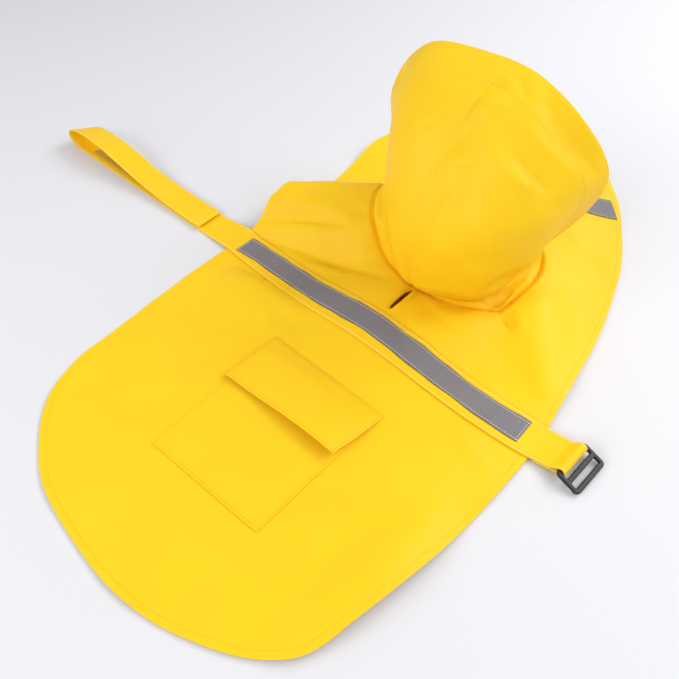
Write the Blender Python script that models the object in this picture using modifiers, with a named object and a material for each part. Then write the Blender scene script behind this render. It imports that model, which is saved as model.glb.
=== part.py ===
"""Dog raincoat laid out on a table: one oval body panel with a neck opening, an upright hood of
two halves, a belly strap with a reflective tape and a three-bar buckle, a second tape across the
chest, and a pocket with a flap.

Lengths below are in millimetres and become metres when a mesh is made.  +Z is up, +Y points to the
head and +X to the coat's right-hand side.  The origin is on the table, on the coat's centre line,
under the middle of the pocket."""

import math

import bmesh
import bpy
import numpy as np
from mathutils import Vector
from mathutils.bvhtree import BVHTree

MM = 0.001

# Cloth
PANEL_WALL = 1.6            # coated cloth with its turned hem
HOOD_WALL = 1.6
STRAP_WALL = 1.8            # two layers sewn together
POCKET_WALL = 1.4
TAPE_WALL = 1.0
GAP = 0.3                   # between two pieces that touch
LAY_GAP = 0.4               # under a piece that lies on a sloping one
LAY_PASSES = 3              # how often a laid piece is checked against what is below
LAY_SAMPLES = 5             # points checked along each side of one of its cells
PATH_STEPS = 12             # fine steps between two given points of a smooth curve
FOLD_POWER = 1.3            # roundness of a soft fold's section

# Body panel
NECK_CENTRE = (0.0, 300.0)
CHEST_TURN = math.radians(20.0)     # the chest end swings to the left about the neck
PANEL_COLUMNS = 96
PANEL_RINGS = 14
RING_CROWDING = 1.5         # rings lie closer together near the neck
SIDE_CROWDING = 0.22        # columns lie closer together at the left shoulder
SIDE_CROWDED_AT = 0.76      # share of the outline where they are closest

# Outline of the body panel on the table, anticlockwise from the middle of the tail; columns: x, y
OUTLINE = (
    (8, -183), (65, -177), (113, -160), (148, -140), (172, -114), (183, -72), (192, -25),
    (198, 20), (202, 85), (202, 150), (193, 222), (184, 290), (169, 355), (147, 425),
    (113, 489), (70, 536), (25, 567), (-35, 579), (-100, 566), (-160, 527), (-196, 478),
    (-212, 420), (-208, 365), (-200, 312), (-199, 255), (-199, 200), (-203, 140), (-201, 80),
    (-196, 20), (-191, -30), (-186, -78), (-166, -120), (-128, -152), (-78, -174),
)

# Neck seam, anticlockwise from the middle of the back; columns: x, y
NECK = (
    (4, 221), (32, 225), (56, 232), (76, 241), (90, 253), (94, 270), (95, 292), (94, 315),
    (89, 338), (76, 359), (52, 374), (20, 382), (-15, 384), (-48, 378), (-76, 360),
    (-92, 333), (-99, 308), (-98, 284), (-93, 266), (-82, 252), (-65, 241), (-44, 233), (-20, 226),
)
NECK_SAMPLES = 240          # points of the seam used to measure the distance from it
COLLAR_RISE = 13.0          # height of the neck seam above the table
COLLAR_REACH = 70.0         # how far from the seam the cloth is lifted

# Hump along the back, under the belly strap
HUMP_RISE = 13.0
HUMP_HALF_WIDTH = 130.0
HUMP_FROM = 70.0            # y where it begins
HUMP_TO = 165.0             # y where it reaches its height

# Folds of the body panel.  A crest runs from one point to the other; near is its half-width on the
# right-hand side of that run and far on the left; beyond each end it dies away over the fade.
# Columns: from_x, from_y, to_x, to_y, rise_from, rise_to, near_from, near_to, far, fade_from, fade_to
SHOULDER_FOLD = (-199, 227, -101, 282, 42, 57, 57, 86, 46, 60, 90)
SOFT_FOLDS = (
    (-245, 418, 112, 548, 10, 10, 76, 76, 76, 40, 40),      # wave across the chest
    (200, -75, 200, -40, 6, 6, 60, 60, 70, 95, 95),         # lifted edge on the right of the tail
    (-200, 197, -100, 228, 4, 4, 14, 18, 16, 30, 50),       # ripple below the shoulder fold
    (118, 288, 176, 205, 5, 4, 38, 38, 38, 40, 60),         # ridge from the collar to the right edge
)
FOLD_BLEND = 2.5            # how sharply the shoulder fold leaves the rest

# Leash slit between the belly strap and the neck
SLIT_X = 5.5
SLIT_FROM = 176.5
SLIT_TO = 216.5
SLIT_WIDTH = 6.0
SLIT_STEPS = 8
SLIT_CUTTER_DEPTH = 60.0

# Hood.  Its rows run over its inner face, from the centre seam over the side to the neck seam; share
# is the row's place between the back of the neck and the brim, and each point is (x, y, z).
HOOD_SEAM_GAP = 0.5         # between the halves' inner faces
HOOD_STEP = 2               # hood rows stand on every second column of the neck seam
HOOD_POINTS = 16
HOOD_RISE = 2.8             # upright start of the wall inside the neck seam
HOOD_LAST_RIGHT = 34        # columns of the neck seam where the brim ends
HOOD_LAST_LEFT = 36
HOOD_SHARES = (0.05, 0.13, 0.30, 0.47, 0.62, 0.78, 0.90, 1.00)
HOOD_SEAM = (
    (8, 211, 27), (8, 205, 44), (8, 198, 93), (9, 210, 139),
    (12, 229, 175), (16, 255, 207), (20, 279, 226), (23, 301, 236),
)
HOOD_COLUMNS = ("crown", "side", "wide", "low", "tuck")
HOOD_RIGHT = (
    ((12, 211, 27), (15, 213, 25), (18, 216, 22), (18, 219, 20), (17, 221, 18)),
    ((22, 205, 43), (32, 209, 38), (40, 216, 31), (43, 222, 25), (42, 226, 20)),
    ((42, 202, 88), (64, 211, 75), (76, 222, 58), (77, 232, 42), (70, 238, 28)),
    ((48, 210, 137), (82, 218, 124), (98, 236, 98), (98, 249, 68), (85, 256, 35)),
    ((51, 227, 173), (86, 234, 156), (106, 251, 128), (106, 265, 90), (86, 279, 38)),
    ((55, 250, 201), (88, 254, 181), (112, 269, 148), (109, 283, 104), (86, 304, 40)),
    ((58, 275, 219), (91, 278, 197), (118, 291, 163), (112, 303, 112), (84, 330, 40)),
    ((56, 299, 231), (96, 300, 209), (126, 318, 165), (117, 326, 112), (84, 350, 42)),
)
HOOD_LEFT = (
    ((4, 211, 27), (1, 213, 25), (-2, 216, 22), (-4, 219, 20), (-5, 221, 18)),
    ((-4, 206, 43), (-12, 211, 38), (-19, 218, 33), (-23, 224, 27), (-25, 228, 22)),
    ((-16, 204, 88), (-34, 218, 76), (-44, 232, 62), (-49, 239, 50), (-53, 242, 40)),
    ((-22, 214, 138), (-48, 230, 122), (-62, 249, 98), (-68, 259, 78), (-76, 262, 62)),
    ((-29, 229, 174), (-58, 244, 156), (-76, 268, 126), (-80, 276, 98), (-87, 280, 74)),
    ((-36, 251, 201), (-66, 260, 181), (-86, 281, 146), (-86, 292, 106), (-90, 298, 74)),
    ((-44, 275, 219), (-76, 281, 197), (-98, 294, 163), (-92, 306, 112), (-86, 322, 66)),
    ((-48, 301, 231), (-83, 302, 208), (-110, 318, 165), (-101, 327, 112), (-78, 344, 52)),
)

# Belly strap
# Its two edges and the tape's centre line, as y at each x: it is wider where it is sewn to the panel
BELT_COLUMNS = ("x", "low", "high", "tape")
BELT = (
    (-560, 134.5, 171.0, 151.0),
    (-203, 133.5, 171.0, 150.5),
    (-155, 129.5, 170.0, 151.8),
    (-110, 125.5, 168.5, 150.3),
    (-70, 125.0, 166.5, 147.8),
    (0, 126.0, 166.5, 148.8),
    (60, 126.0, 166.5, 148.4),
    (120, 125.5, 166.0, 147.6),
    (155, 125.5, 165.5, 146.8),
    (185, 127.0, 166.0, 147.6),
    (207, 129.5, 167.0, 148.0),
    (228, 130.9, 166.8, 148.8),
    (240, 131.0, 166.7, 148.8),
)
STRAP_EDGE_X = 202.0        # where it leaves the body panel
STRAP_STEP = 9.0            # spacing of its rows on the panel
STRAP_LANES = 4             # points across its width
STRAP_LAYER_GAP = 0.4       # between the sewn end and the strap over it
STRAP_SEWN_ROWS = 4
STRAP_BAR_ROWS = 8
STRAP_DROP = 50.0           # length over which it comes down to the table on the left
STRAP_FREE_STEP = 10.0
STRAP_FLAT = (-280.0, -480.0, 6)    # rows that lie on the table: first, last, number
STRAP_SEWN_END = 207.0      # x of the end under the strap, sewn back round the buckle
STRAP_MEET = (223.5, 6.0)   # x and z where its two layers part round the buckle's bar
STRAP_RISE_POWER = 1.4      # how late it rises to that place
STRAP_BAR_GAP = 1.1         # between the buckle's bar and the strap round it
FLOOR_GAP = 0.2             # under the sewn end
LOOP_ROWS = 44
# Free end on the left: inner face, from the table round the fold and back to the sewn-down tip;
# columns: x and z on the near edge, x and z on the far edge
LOOP = (
    (-505, 0.0, -500, 0.0),
    (-521, 0.6, -511, 0.5),
    (-531, 4.5, -520, 3.6),
    (-535, 12, -525, 9),
    (-530, 22, -521, 15),
    (-512, 29.5, -507, 19.5),
    (-485, 32, -482, 21.5),
    (-455, 30, -452, 20.5),
    (-425, 24, -424, 16.5),
    (-395, 17.5, -396, 10.5),
    (-365, 12, -368, 6.4),
    (-330, 8, -333, 4.6),
    (-295, 5.8, -298, 4.3),
    (-270, 5.6, -272, 4.5),
    (-254, 6.6, -257, 5.2),
)

# Reflective tapes
TAPE_LANES = 4              # points across a tape
BELT_TAPE_WIDTH = 26.0
BELT_TAPE_FROM = 187.0
BELT_TAPE_TO = -191.0
CHEST_TAPE_WIDTH = 26.0
CHEST_TAPE_ALONG = 130.0    # nearer edge, along the turned chest
CHEST_TAPE_RIGHT = 167.0
CHEST_TAPE_LEFT = -112.0
CHEST_TAPE_TAPER = 0.50     # how fast its ends follow the rounded chest
CHEST_TAPE_SWING = 5.0      # how far its right end swings away from the neck
CHEST_TAPE_SWING_REACH = 24.0
CHEST_TAPE_ROWS = 22

# Buckle
BUCKLE_LENGTH = 43.0
BUCKLE_WIDTH = 25.0
BUCKLE_THICK = 3.2
BUCKLE_BAR = 3.8
BUCKLE_CORNER = 4.0
BUCKLE_CORNER_STEPS = 4
BUCKLE_EDGE = 1.0
BUCKLE_EDGE_STEPS = 2
BUCKLE_EDGE_ANGLE = math.radians(50.0)  # only sharper edges are rounded
BUCKLE_SLOT_EXTRA = 2.0     # slots reach this much into the end bars
SLOT_CUTTER_DEPTH = 20.0
BUCKLE_PLACE = (232.2, 148.8, 9.4)      # middle of the inner bar
BUCKLE_TILT = math.radians(19.0)        # its outer bar rests on the table
BUCKLE_LEAN = math.radians(-3.4)

# Pocket and flap: corners as x and y, anticlockwise from the bottom left
POCKET_CORNERS = ((-53, -84), (78, -78), (79, 62), (-58, 60))
POCKET_CELLS = 10
POCKET_FILL = 3.0           # how far the pocket stands off in its middle
POCKET_FILL_FROM = 0.02     # share of its height where that begins
POCKET_FILL_TO = 0.85       # and where it is complete
POCKET_FILL_POWER = 2.5     # how flat it is across
FLAP_CORNERS = ((-60.5, 8.5), (78, 12.5), (82.5, 76), (-61.5, 76))
FLAP_CELLS = (10, 7)
FLAP_LIFT = ((0.0, 3.5), (0.3, 1.5), (0.75, 6.0), (1.0, 7.0))    # share from the left, height
FLAP_LIFT_POWER = 1.6       # how near its lower edge it lifts

# Hook-and-loop patch on the strap, inside the folded end
PATCH_WIDTH = 25.0
PATCH_WALL = 1.2
PATCH_FROM = -392.0
PATCH_TO = -490.0
PATCH_ROWS = 4

# Materials: name, colour, roughness
CLOTH = ("yellow_coated_cloth", (1.0, 0.62, 0.03, 1.0), 0.4)
REFLECTIVE = ("reflective_tape", (0.26, 0.24, 0.25, 1.0), 0.5)
PLASTIC = ("black_plastic", (0.02, 0.02, 0.025, 1.0), 0.35)
FASTENER = ("hook_and_loop", (0.62, 0.5, 0.16, 1.0), 0.9)


# ---------------------------------------------------------------- the scene

def clear_scene():
    for thing in list(bpy.data.objects):
        bpy.data.objects.remove(thing, do_unlink=True)


def make_collection(name):
    collection = bpy.data.collections.new(name)
    bpy.context.scene.collection.children.link(collection)
    return collection


def make_material(name, colour, roughness):
    material = bpy.data.materials.new(name)
    material.use_nodes = True
    shader = material.node_tree.nodes["Principled BSDF"]
    shader.inputs["Base Color"].default_value = colour
    shader.inputs["Roughness"].default_value = roughness
    shader.inputs["Metallic"].default_value = 0.0
    return material


def in_metres(point):
    return Vector([float(value) * MM for value in point])


# ---------------------------------------------------------------- curves

def smoothstep(value, low, high):
    share = np.clip((np.asarray(value, float) - low) / (high - low), 0.0, 1.0)
    return share * share * (3.0 - 2.0 * share)


def arch(distance, half_width):
    """Height share of a soft fold: 1 on its crest, 0 at its foot."""
    share = np.clip(np.abs(distance) / half_width, 0.0, 1.0)
    return (1.0 - share * share) ** FOLD_POWER


def curve_at(points, places, closed=False):
    """Catmull-Rom curve through the points, read at places counted in points."""
    points = np.asarray(points, float)
    total = len(points)
    last = total if closed else total - 1
    span = np.clip(np.floor(places), 0, last - 1).astype(int)
    t = (np.asarray(places, float) - span)[:, None]

    def beside(shift):
        index = span + shift
        return points[index % total if closed else np.clip(index, 0, total - 1)]

    before, start, end, after = [beside(shift) for shift in (-1, 0, 1, 2)]
    bend = 2 * before - 5 * start + 4 * end - after
    twist = 3 * start - before - 3 * end + after
    return 0.5 * (2 * start + (end - before) * t + bend * t ** 2 + twist * t ** 3)


def even_path(points, shares, closed=False):
    """Points of the smooth curve at the given shares of its length."""
    last = len(points) if closed else len(points) - 1
    fine = curve_at(points, np.linspace(0.0, last, PATH_STEPS * last + 1), closed)
    steps = np.linalg.norm(np.diff(fine, axis=0), axis=1)
    lengths = np.concatenate([[0.0], np.cumsum(steps)])
    wanted = np.asarray(shares) * lengths[-1]
    return np.stack([np.interp(wanted, lengths, axis) for axis in fine.T], axis=1)


# ---------------------------------------------------------------- how the cloth lies

NECK_FINE = even_path(NECK, np.arange(NECK_SAMPLES) / NECK_SAMPLES, closed=True)


def chest_point(along, across):
    """Point of the turned chest, measured from the neck's centre."""
    x = NECK_CENTRE[0] + across * math.cos(CHEST_TURN) - along * math.sin(CHEST_TURN)
    y = NECK_CENTRE[1] + across * math.sin(CHEST_TURN) + along * math.cos(CHEST_TURN)
    return x, y


def fold(row, x, y):
    """Height of one fold of the tables above at (x, y)."""
    from_x, from_y, to_x, to_y, rise_from, rise_to, near_from, near_to, far, fade_from, fade_to = row
    length = math.hypot(to_x - from_x, to_y - from_y)
    run_x = (to_x - from_x) / length
    run_y = (to_y - from_y) / length
    along = (x - from_x) * run_x + (y - from_y) * run_y
    aside = (x - from_x) * run_y - (y - from_y) * run_x
    share = np.clip(along / length, 0.0, 1.0)
    rise = rise_from + (rise_to - rise_from) * share
    near = near_from + (near_to - near_from) * share
    profile = np.where(aside > 0.0, arch(aside, near), arch(aside, far))
    begin = smoothstep(along, -fade_from, 0.0)
    end = 1.0 - smoothstep(along, length, length + fade_to)
    return rise * profile * begin * end


def back_hump(x, y):
    across = np.cos(np.clip(np.abs(x) / HUMP_HALF_WIDTH, 0.0, 1.0) * math.pi / 2) ** 2
    return HUMP_RISE * across * smoothstep(y, HUMP_FROM, HUMP_TO)


def collar(x, y):
    steps = NECK_FINE[:, None, :] - np.stack([np.ravel(x), np.ravel(y)], axis=1)[None, :, :]
    distance = np.sqrt((steps ** 2).sum(axis=2)).min(axis=0).reshape(np.shape(x))
    return COLLAR_RISE * (1.0 - smoothstep(distance, 0.0, COLLAR_REACH))


def panel_height(x, y):
    """Height of the body panel's underside above the table."""
    x = np.asarray(x, float)
    y = np.asarray(y, float)
    low = np.maximum(collar(x, y), back_hump(x, y))
    high = fold(SHOULDER_FOLD, x, y)
    joined = (high ** FOLD_BLEND + low ** FOLD_BLEND) ** (1.0 / FOLD_BLEND)
    return joined + sum(fold(row, x, y) for row in SOFT_FOLDS)


def belt_at(x, column):
    """One column of the belt's table, read at x along a smooth curve."""
    places = np.interp([x], [row[0] for row in BELT], range(len(BELT)))
    return float(curve_at([(row[BELT_COLUMNS.index(column)],) for row in BELT], places)[0, 0])


# ---------------------------------------------------------------- sheets

def sheet_mesh(name, grid, closed_rows=False, pole=None):
    """A quad sheet from a grid of points; pole closes the first row to one point."""
    mesh = bpy.data.meshes.new(name)
    shape = bmesh.new()
    rows = [[shape.verts.new(in_metres(point)) for point in row] for row in grid]
    for lower, upper in zip(rows, rows[1:]):
        count = len(lower)
        for index in range(count if closed_rows else count - 1):
            following = (index + 1) % count
            shape.faces.new((lower[index], lower[following], upper[following], upper[index]))
    if pole is not None:
        tip = shape.verts.new(in_metres(pole))
        for first, second in zip(rows[0], rows[0][1:]):
            shape.faces.new((tip, second, first))
    shape.to_mesh(mesh)
    shape.free()
    return mesh


def add_sheet(mesh, material, collection, wall):
    """An object of an open sheet, with its wall added along the normals."""
    thing = bpy.data.objects.new(mesh.name, mesh)
    mesh.materials.append(material)
    mesh.shade_smooth()
    collection.objects.link(thing)
    thickness = thing.modifiers.new("wall", "SOLIDIFY")
    thickness.thickness = wall * MM
    thickness.offset = 1.0
    return thing


def surfaces(*things):
    """Search trees of finished pieces, to lay others on them."""
    bpy.context.view_layer.update()
    depsgraph = bpy.context.evaluated_depsgraph_get()
    return [BVHTree.FromObject(thing, depsgraph) for thing in things]


def top_of(trees, x, y):
    """Height of the pieces' upper face at (x, y)."""
    above = in_metres((x, y, 1000.0))
    hits = [tree.ray_cast(above, Vector((0.0, 0.0, -1.0)))[0] for tree in trees]
    return max([hit.z / MM for hit in hits if hit is not None], default=0.0)


def lay(plan, trees, gap=LAY_GAP):
    """Lift a grid of (x, y) points until the sheet clears the pieces below by the gap everywhere."""
    plan = np.asarray(plan, float)
    rows, columns = plan.shape[:2]
    heights = np.array([[top_of(trees, x, y) + gap for x, y in row] for row in plan])
    shares = np.linspace(0.0, 1.0, LAY_SAMPLES)
    for _ in range(LAY_PASSES):
        for row in range(rows - 1):
            for column in range(columns - 1):
                cell = np.s_[row:row + 2, column:column + 2]
                for s in shares:
                    for t in shares:
                        weights = np.outer((1.0 - s, s), (1.0 - t, t))
                        x, y = (plan[cell] * weights[..., None]).sum(axis=(0, 1))
                        lack = top_of(trees, x, y) + gap - (heights[cell] * weights).sum()
                        if lack > 0.0:
                            heights[cell] += weights * lack / (weights ** 2).sum()
    return np.dstack([plan, heights])


def four_corner_plan(corners, columns, rows):
    """Grid of (x, y) points between four corners, given anticlockwise from the bottom left."""
    bottom_left, bottom_right, top_right, top_left = np.array(corners, float)
    plan = []
    for t in np.linspace(0.0, 1.0, rows + 1):
        left = bottom_left + (top_left - bottom_left) * t
        right = bottom_right + (top_right - bottom_right) * t
        plan.append([left + (right - left) * s for s in np.linspace(0.0, 1.0, columns + 1)])
    return np.array(plan)


# ---------------------------------------------------------------- body panel

def neck_columns():
    return even_path(NECK, np.arange(PANEL_COLUMNS) / PANEL_COLUMNS, closed=True)


def outline_columns():
    """The outline's points, closer together at the left shoulder."""
    even = np.arange(PANEL_COLUMNS) / PANEL_COLUMNS
    swing = np.sin(2 * math.pi * (even - SIDE_CROWDED_AT)) + math.sin(2 * math.pi * SIDE_CROWDED_AT)
    return even_path(OUTLINE, even - SIDE_CROWDING * swing / (2 * math.pi), closed=True)


def make_body_panel(cloth, parts, cutters):
    inner = neck_columns()
    outer = outline_columns()
    grid = []
    for ring in range(PANEL_RINGS, -1, -1):
        share = (ring / PANEL_RINGS) ** RING_CROWDING
        flat = inner + (outer - inner) * share
        grid.append(np.column_stack([flat, panel_height(flat[:, 0], flat[:, 1])]))
    mesh = sheet_mesh("body_panel", grid, closed_rows=True)
    panel = add_sheet(mesh, cloth, parts, PANEL_WALL)
    slit = panel.modifiers.new("slit", "BOOLEAN")
    slit.operation = "DIFFERENCE"
    slit.solver = "EXACT"
    slit.object = make_slit_cutter(cutters)
    return panel


def make_slit_cutter(cutters):
    """A lens-shaped prism that opens the leash slit."""
    half_length = (SLIT_TO - SLIT_FROM) / 2
    shape = bmesh.new()
    bmesh.ops.create_cone(shape, cap_ends=True, segments=2 * SLIT_STEPS, radius1=1.0, radius2=1.0,
                          depth=SLIT_CUTTER_DEPTH * MM)
    for vertex in shape.verts:
        along = vertex.co.y
        vertex.co.y = along * half_length * MM
        vertex.co.x = math.copysign((1.0 - along * along) * SLIT_WIDTH / 2 * MM, vertex.co.x)
    mesh = bpy.data.meshes.new("slit_cutter")
    shape.to_mesh(mesh)
    shape.free()
    cutter = bpy.data.objects.new("slit_cutter", mesh)
    cutter.location = in_metres((SLIT_X, (SLIT_FROM + SLIT_TO) / 2, COLLAR_RISE))
    hide_cutter(cutter)
    cutters.objects.link(cutter)
    return cutter


def hide_cutter(cutter):
    cutter.hide_render = True
    cutter.display_type = "WIRE"


# ---------------------------------------------------------------- hood

def hood_feet():
    """Points inside the panel's neck edge, so that the hood's wall clears it, one for each column."""
    neck = neck_columns()
    inward = np.array(NECK_CENTRE) - neck
    inward /= np.linalg.norm(inward, axis=1)[:, None]
    heights = panel_height(neck[:, 0], neck[:, 1])
    beyond = neck - inward
    slope = np.maximum(panel_height(beyond[:, 0], beyond[:, 1]) - heights, 0.0)
    overhang = PANEL_WALL * slope / np.sqrt(1.0 + slope ** 2)
    step = 2 * GAP + HOOD_WALL + overhang
    return np.column_stack([neck + inward * step[:, None], heights + GAP])


def hood_rows(side):
    """Rows of points of one hood half, from the back of the neck to the brim; side is 1 or -1."""
    table = HOOD_RIGHT if side > 0 else HOOD_LEFT
    last = HOOD_LAST_RIGHT if side > 0 else HOOD_LAST_LEFT
    feet = hood_feet()
    columns = np.arange(HOOD_STEP, last + 1, HOOD_STEP)
    places = np.interp(columns / last, HOOD_SHARES, np.arange(len(HOOD_SHARES)))
    aside = side * HOOD_SEAM_GAP / 2
    lanes = [curve_at([(x + aside, y, z) for x, y, z in HOOD_SEAM], places)]
    for lane in range(len(HOOD_COLUMNS)):
        lanes.append(curve_at([row[lane] for row in table], places))
    rows = []
    for number, column in enumerate(columns):
        foot = feet[side * column]
        rise = foot + (0.0, 0.0, HOOD_RISE)
        body = even_path([lane[number] for lane in lanes] + [rise], np.linspace(0.0, 1.0, HOOD_POINTS))
        rows.append(np.vstack([body, foot]))
    pole = (HOOD_SEAM[0][0] + aside, feet[0][1], feet[0][2] + HOOD_RISE)
    return rows, pole


def make_hood_half(name, side, cloth, parts):
    rows, pole = hood_rows(side)
    mesh = sheet_mesh(name, rows, pole=pole)
    if side < 0:
        mesh.flip_normals()
    return add_sheet(mesh, cloth, parts, HOOD_WALL)


# ---------------------------------------------------------------- belly strap and tapes

def strap_across(x):
    """y of the strap's points across its width at x."""
    return np.linspace(belt_at(x, "low"), belt_at(x, "high"), STRAP_LANES)


def level_row(x, z, slant=0.0):
    """A row across the strap at one height; slant is how far it leans along x for each step in y."""
    across = strap_across(x)
    return [(x + slant * (y - across.mean()), y, z) for y in across]


def buckle_end_rows(edge_z):
    """From the sewn end under the strap, round the buckle's inner bar, back to the panel's edge."""
    bar_x, _, bar_z = BUCKLE_PLACE
    meet_x, meet_z = STRAP_MEET
    radius = BUCKLE_BAR / 2 + STRAP_BAR_GAP
    reach = math.hypot(bar_x - meet_x, bar_z - meet_z)
    towards = math.atan2(bar_z - meet_z, bar_x - meet_x)
    turn = math.pi / 2 + math.asin(radius / reach)
    slant = math.tan(-BUCKLE_LEAN)
    upper = []
    for x in np.linspace(STRAP_SEWN_END, meet_x, STRAP_SEWN_ROWS):
        share = ((x - STRAP_EDGE_X) / (meet_x - STRAP_EDGE_X)) ** STRAP_RISE_POWER
        upper.append((x, edge_z + (meet_z - edge_z) * share, slant * share))
    rows = [level_row(x, max(z - STRAP_LAYER_GAP, STRAP_WALL + FLOOR_GAP), lean) for x, z, lean in upper]
    for angle in np.linspace(towards - turn, towards + turn, STRAP_BAR_ROWS):
        rows.append(level_row(bar_x + radius * math.cos(angle), bar_z + radius * math.sin(angle), slant))
    rows.extend(level_row(*row) for row in reversed(upper))
    return rows


def strap_rows(trees):
    """Rows across the belly strap's inner face, from the sewn end at the buckle to the free end."""
    count = int(round(2 * STRAP_EDGE_X / STRAP_STEP))
    plan = [[(x, y) for y in strap_across(x)] for x in np.linspace(STRAP_EDGE_X, -STRAP_EDGE_X, count + 1)]
    laid = lay(plan, trees)
    for edge, inside in ((0, 1), (-1, -2)):
        laid[edge, :, 2] = np.maximum(laid[edge, :, 2], laid[inside, :, 2])
    rows = buckle_end_rows(laid[0][:, 2].mean())
    rows.extend(laid)
    for drop in np.arange(STRAP_FREE_STEP, STRAP_DROP + 1.0, STRAP_FREE_STEP):
        x = -STRAP_EDGE_X - drop
        share = 1.0 - float(smoothstep(drop, 0.0, STRAP_DROP))
        rows.append([(x, y, edge[2] * share) for y, edge in zip(strap_across(x), laid[-1])])
    first, last, number = STRAP_FLAT
    rows.extend(level_row(x, 0.0) for x in np.linspace(first, last, number))
    for near_x, near_z, far_x, far_z in even_path(LOOP, np.linspace(0.0, 1.0, LOOP_ROWS)):
        rows.append([(near_x + (far_x - near_x) * share, y, near_z + (far_z - near_z) * share)
                     for y, share in zip(strap_across(near_x), np.linspace(0.0, 1.0, STRAP_LANES))])
    return np.array(rows)


def make_strap(cloth, parts, panel):
    mesh = sheet_mesh("belly_strap", strap_rows(surfaces(panel)))
    return add_sheet(mesh, cloth, parts, STRAP_WALL)


def make_belt_tape(reflective, parts, strap):
    """The grey tape sewn along the belly strap."""
    count = int(round((BELT_TAPE_FROM - BELT_TAPE_TO) / STRAP_STEP))
    lanes = np.linspace(-0.5, 0.5, TAPE_LANES) * BELT_TAPE_WIDTH
    plan = [[(x, belt_at(x, "tape") + lane) for lane in lanes]
            for x in np.linspace(BELT_TAPE_FROM, BELT_TAPE_TO, count + 1)]
    mesh = sheet_mesh("belt_tape", lay(plan, surfaces(strap)))
    return add_sheet(mesh, reflective, parts, TAPE_WALL)


def make_chest_tape(reflective, parts, panel):
    """The grey tape across the chest, with ends that follow the rounded edge."""
    plan = []
    for across in np.linspace(CHEST_TAPE_RIGHT, CHEST_TAPE_LEFT, CHEST_TAPE_ROWS):
        row = []
        swing = CHEST_TAPE_SWING * math.exp((across - CHEST_TAPE_RIGHT) / CHEST_TAPE_SWING_REACH)
        for step in np.linspace(0.0, CHEST_TAPE_WIDTH, TAPE_LANES):
            squeeze = 1.0 - CHEST_TAPE_TAPER * step / CHEST_TAPE_RIGHT
            row.append(chest_point(CHEST_TAPE_ALONG + swing + step, across * squeeze))
        plan.append(row)
    mesh = sheet_mesh("chest_tape", lay(plan, surfaces(panel)))
    return add_sheet(mesh, reflective, parts, TAPE_WALL)


# ---------------------------------------------------------------- pocket and patch

def make_pocket(cloth, parts, panel):
    """The patch pocket: sewn down on three sides, a little full in the middle and at its mouth."""
    grid = lay(four_corner_plan(POCKET_CORNERS, POCKET_CELLS, POCKET_CELLS), surfaces(panel))
    across = np.linspace(-1.0, 1.0, POCKET_CELLS + 1)
    up = smoothstep(np.linspace(0.0, 1.0, POCKET_CELLS + 1), POCKET_FILL_FROM, POCKET_FILL_TO)
    grid[:, :, 2] += POCKET_FILL * np.outer(up, 1.0 - np.abs(across) ** POCKET_FILL_POWER)
    return add_sheet(sheet_mesh("pocket", grid), cloth, parts, POCKET_WALL)


def make_flap(cloth, parts, panel, pocket):
    """The pocket flap: sewn down along its top, standing off at its lower edge."""
    columns, rows = FLAP_CELLS
    grid = lay(four_corner_plan(FLAP_CORNERS, columns, rows), surfaces(panel, pocket))
    given = [share for share, _ in FLAP_LIFT]
    places = np.interp(np.linspace(0.0, 1.0, columns + 1), given, range(len(given)))
    lift = curve_at([(height,) for _, height in FLAP_LIFT], places)[:, 0]
    down = (1.0 - np.linspace(0.0, 1.0, rows + 1)) ** FLAP_LIFT_POWER
    grid[:, :, 2] += np.outer(down, lift)
    return add_sheet(sheet_mesh("pocket_flap", grid), cloth, parts, POCKET_WALL)


def make_hook_patch(fastener, parts):
    """The hook-and-loop patch on the strap, inside the folded end."""
    middle = strap_across(PATCH_FROM).mean()
    lanes = middle + np.array([-0.5, 0.5]) * PATCH_WIDTH
    places = np.linspace(PATCH_FROM, PATCH_TO, PATCH_ROWS)
    rows = [[(x, y, STRAP_WALL + GAP) for y in lanes] for x in places]
    return add_sheet(sheet_mesh("hook_patch", rows), fastener, parts, PATCH_WALL)


# ---------------------------------------------------------------- buckle

def add_box(name, size, centre, collection):
    bpy.ops.mesh.primitive_cube_add(size=1.0)
    box = bpy.context.object
    box.name = name
    box.data.name = name
    for vertex in box.data.vertices:
        vertex.co = in_metres([middle + share * length
                               for middle, share, length in zip(centre, vertex.co, size)])
    for owner in list(box.users_collection):
        owner.objects.unlink(box)
    collection.objects.link(box)
    return box


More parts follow.
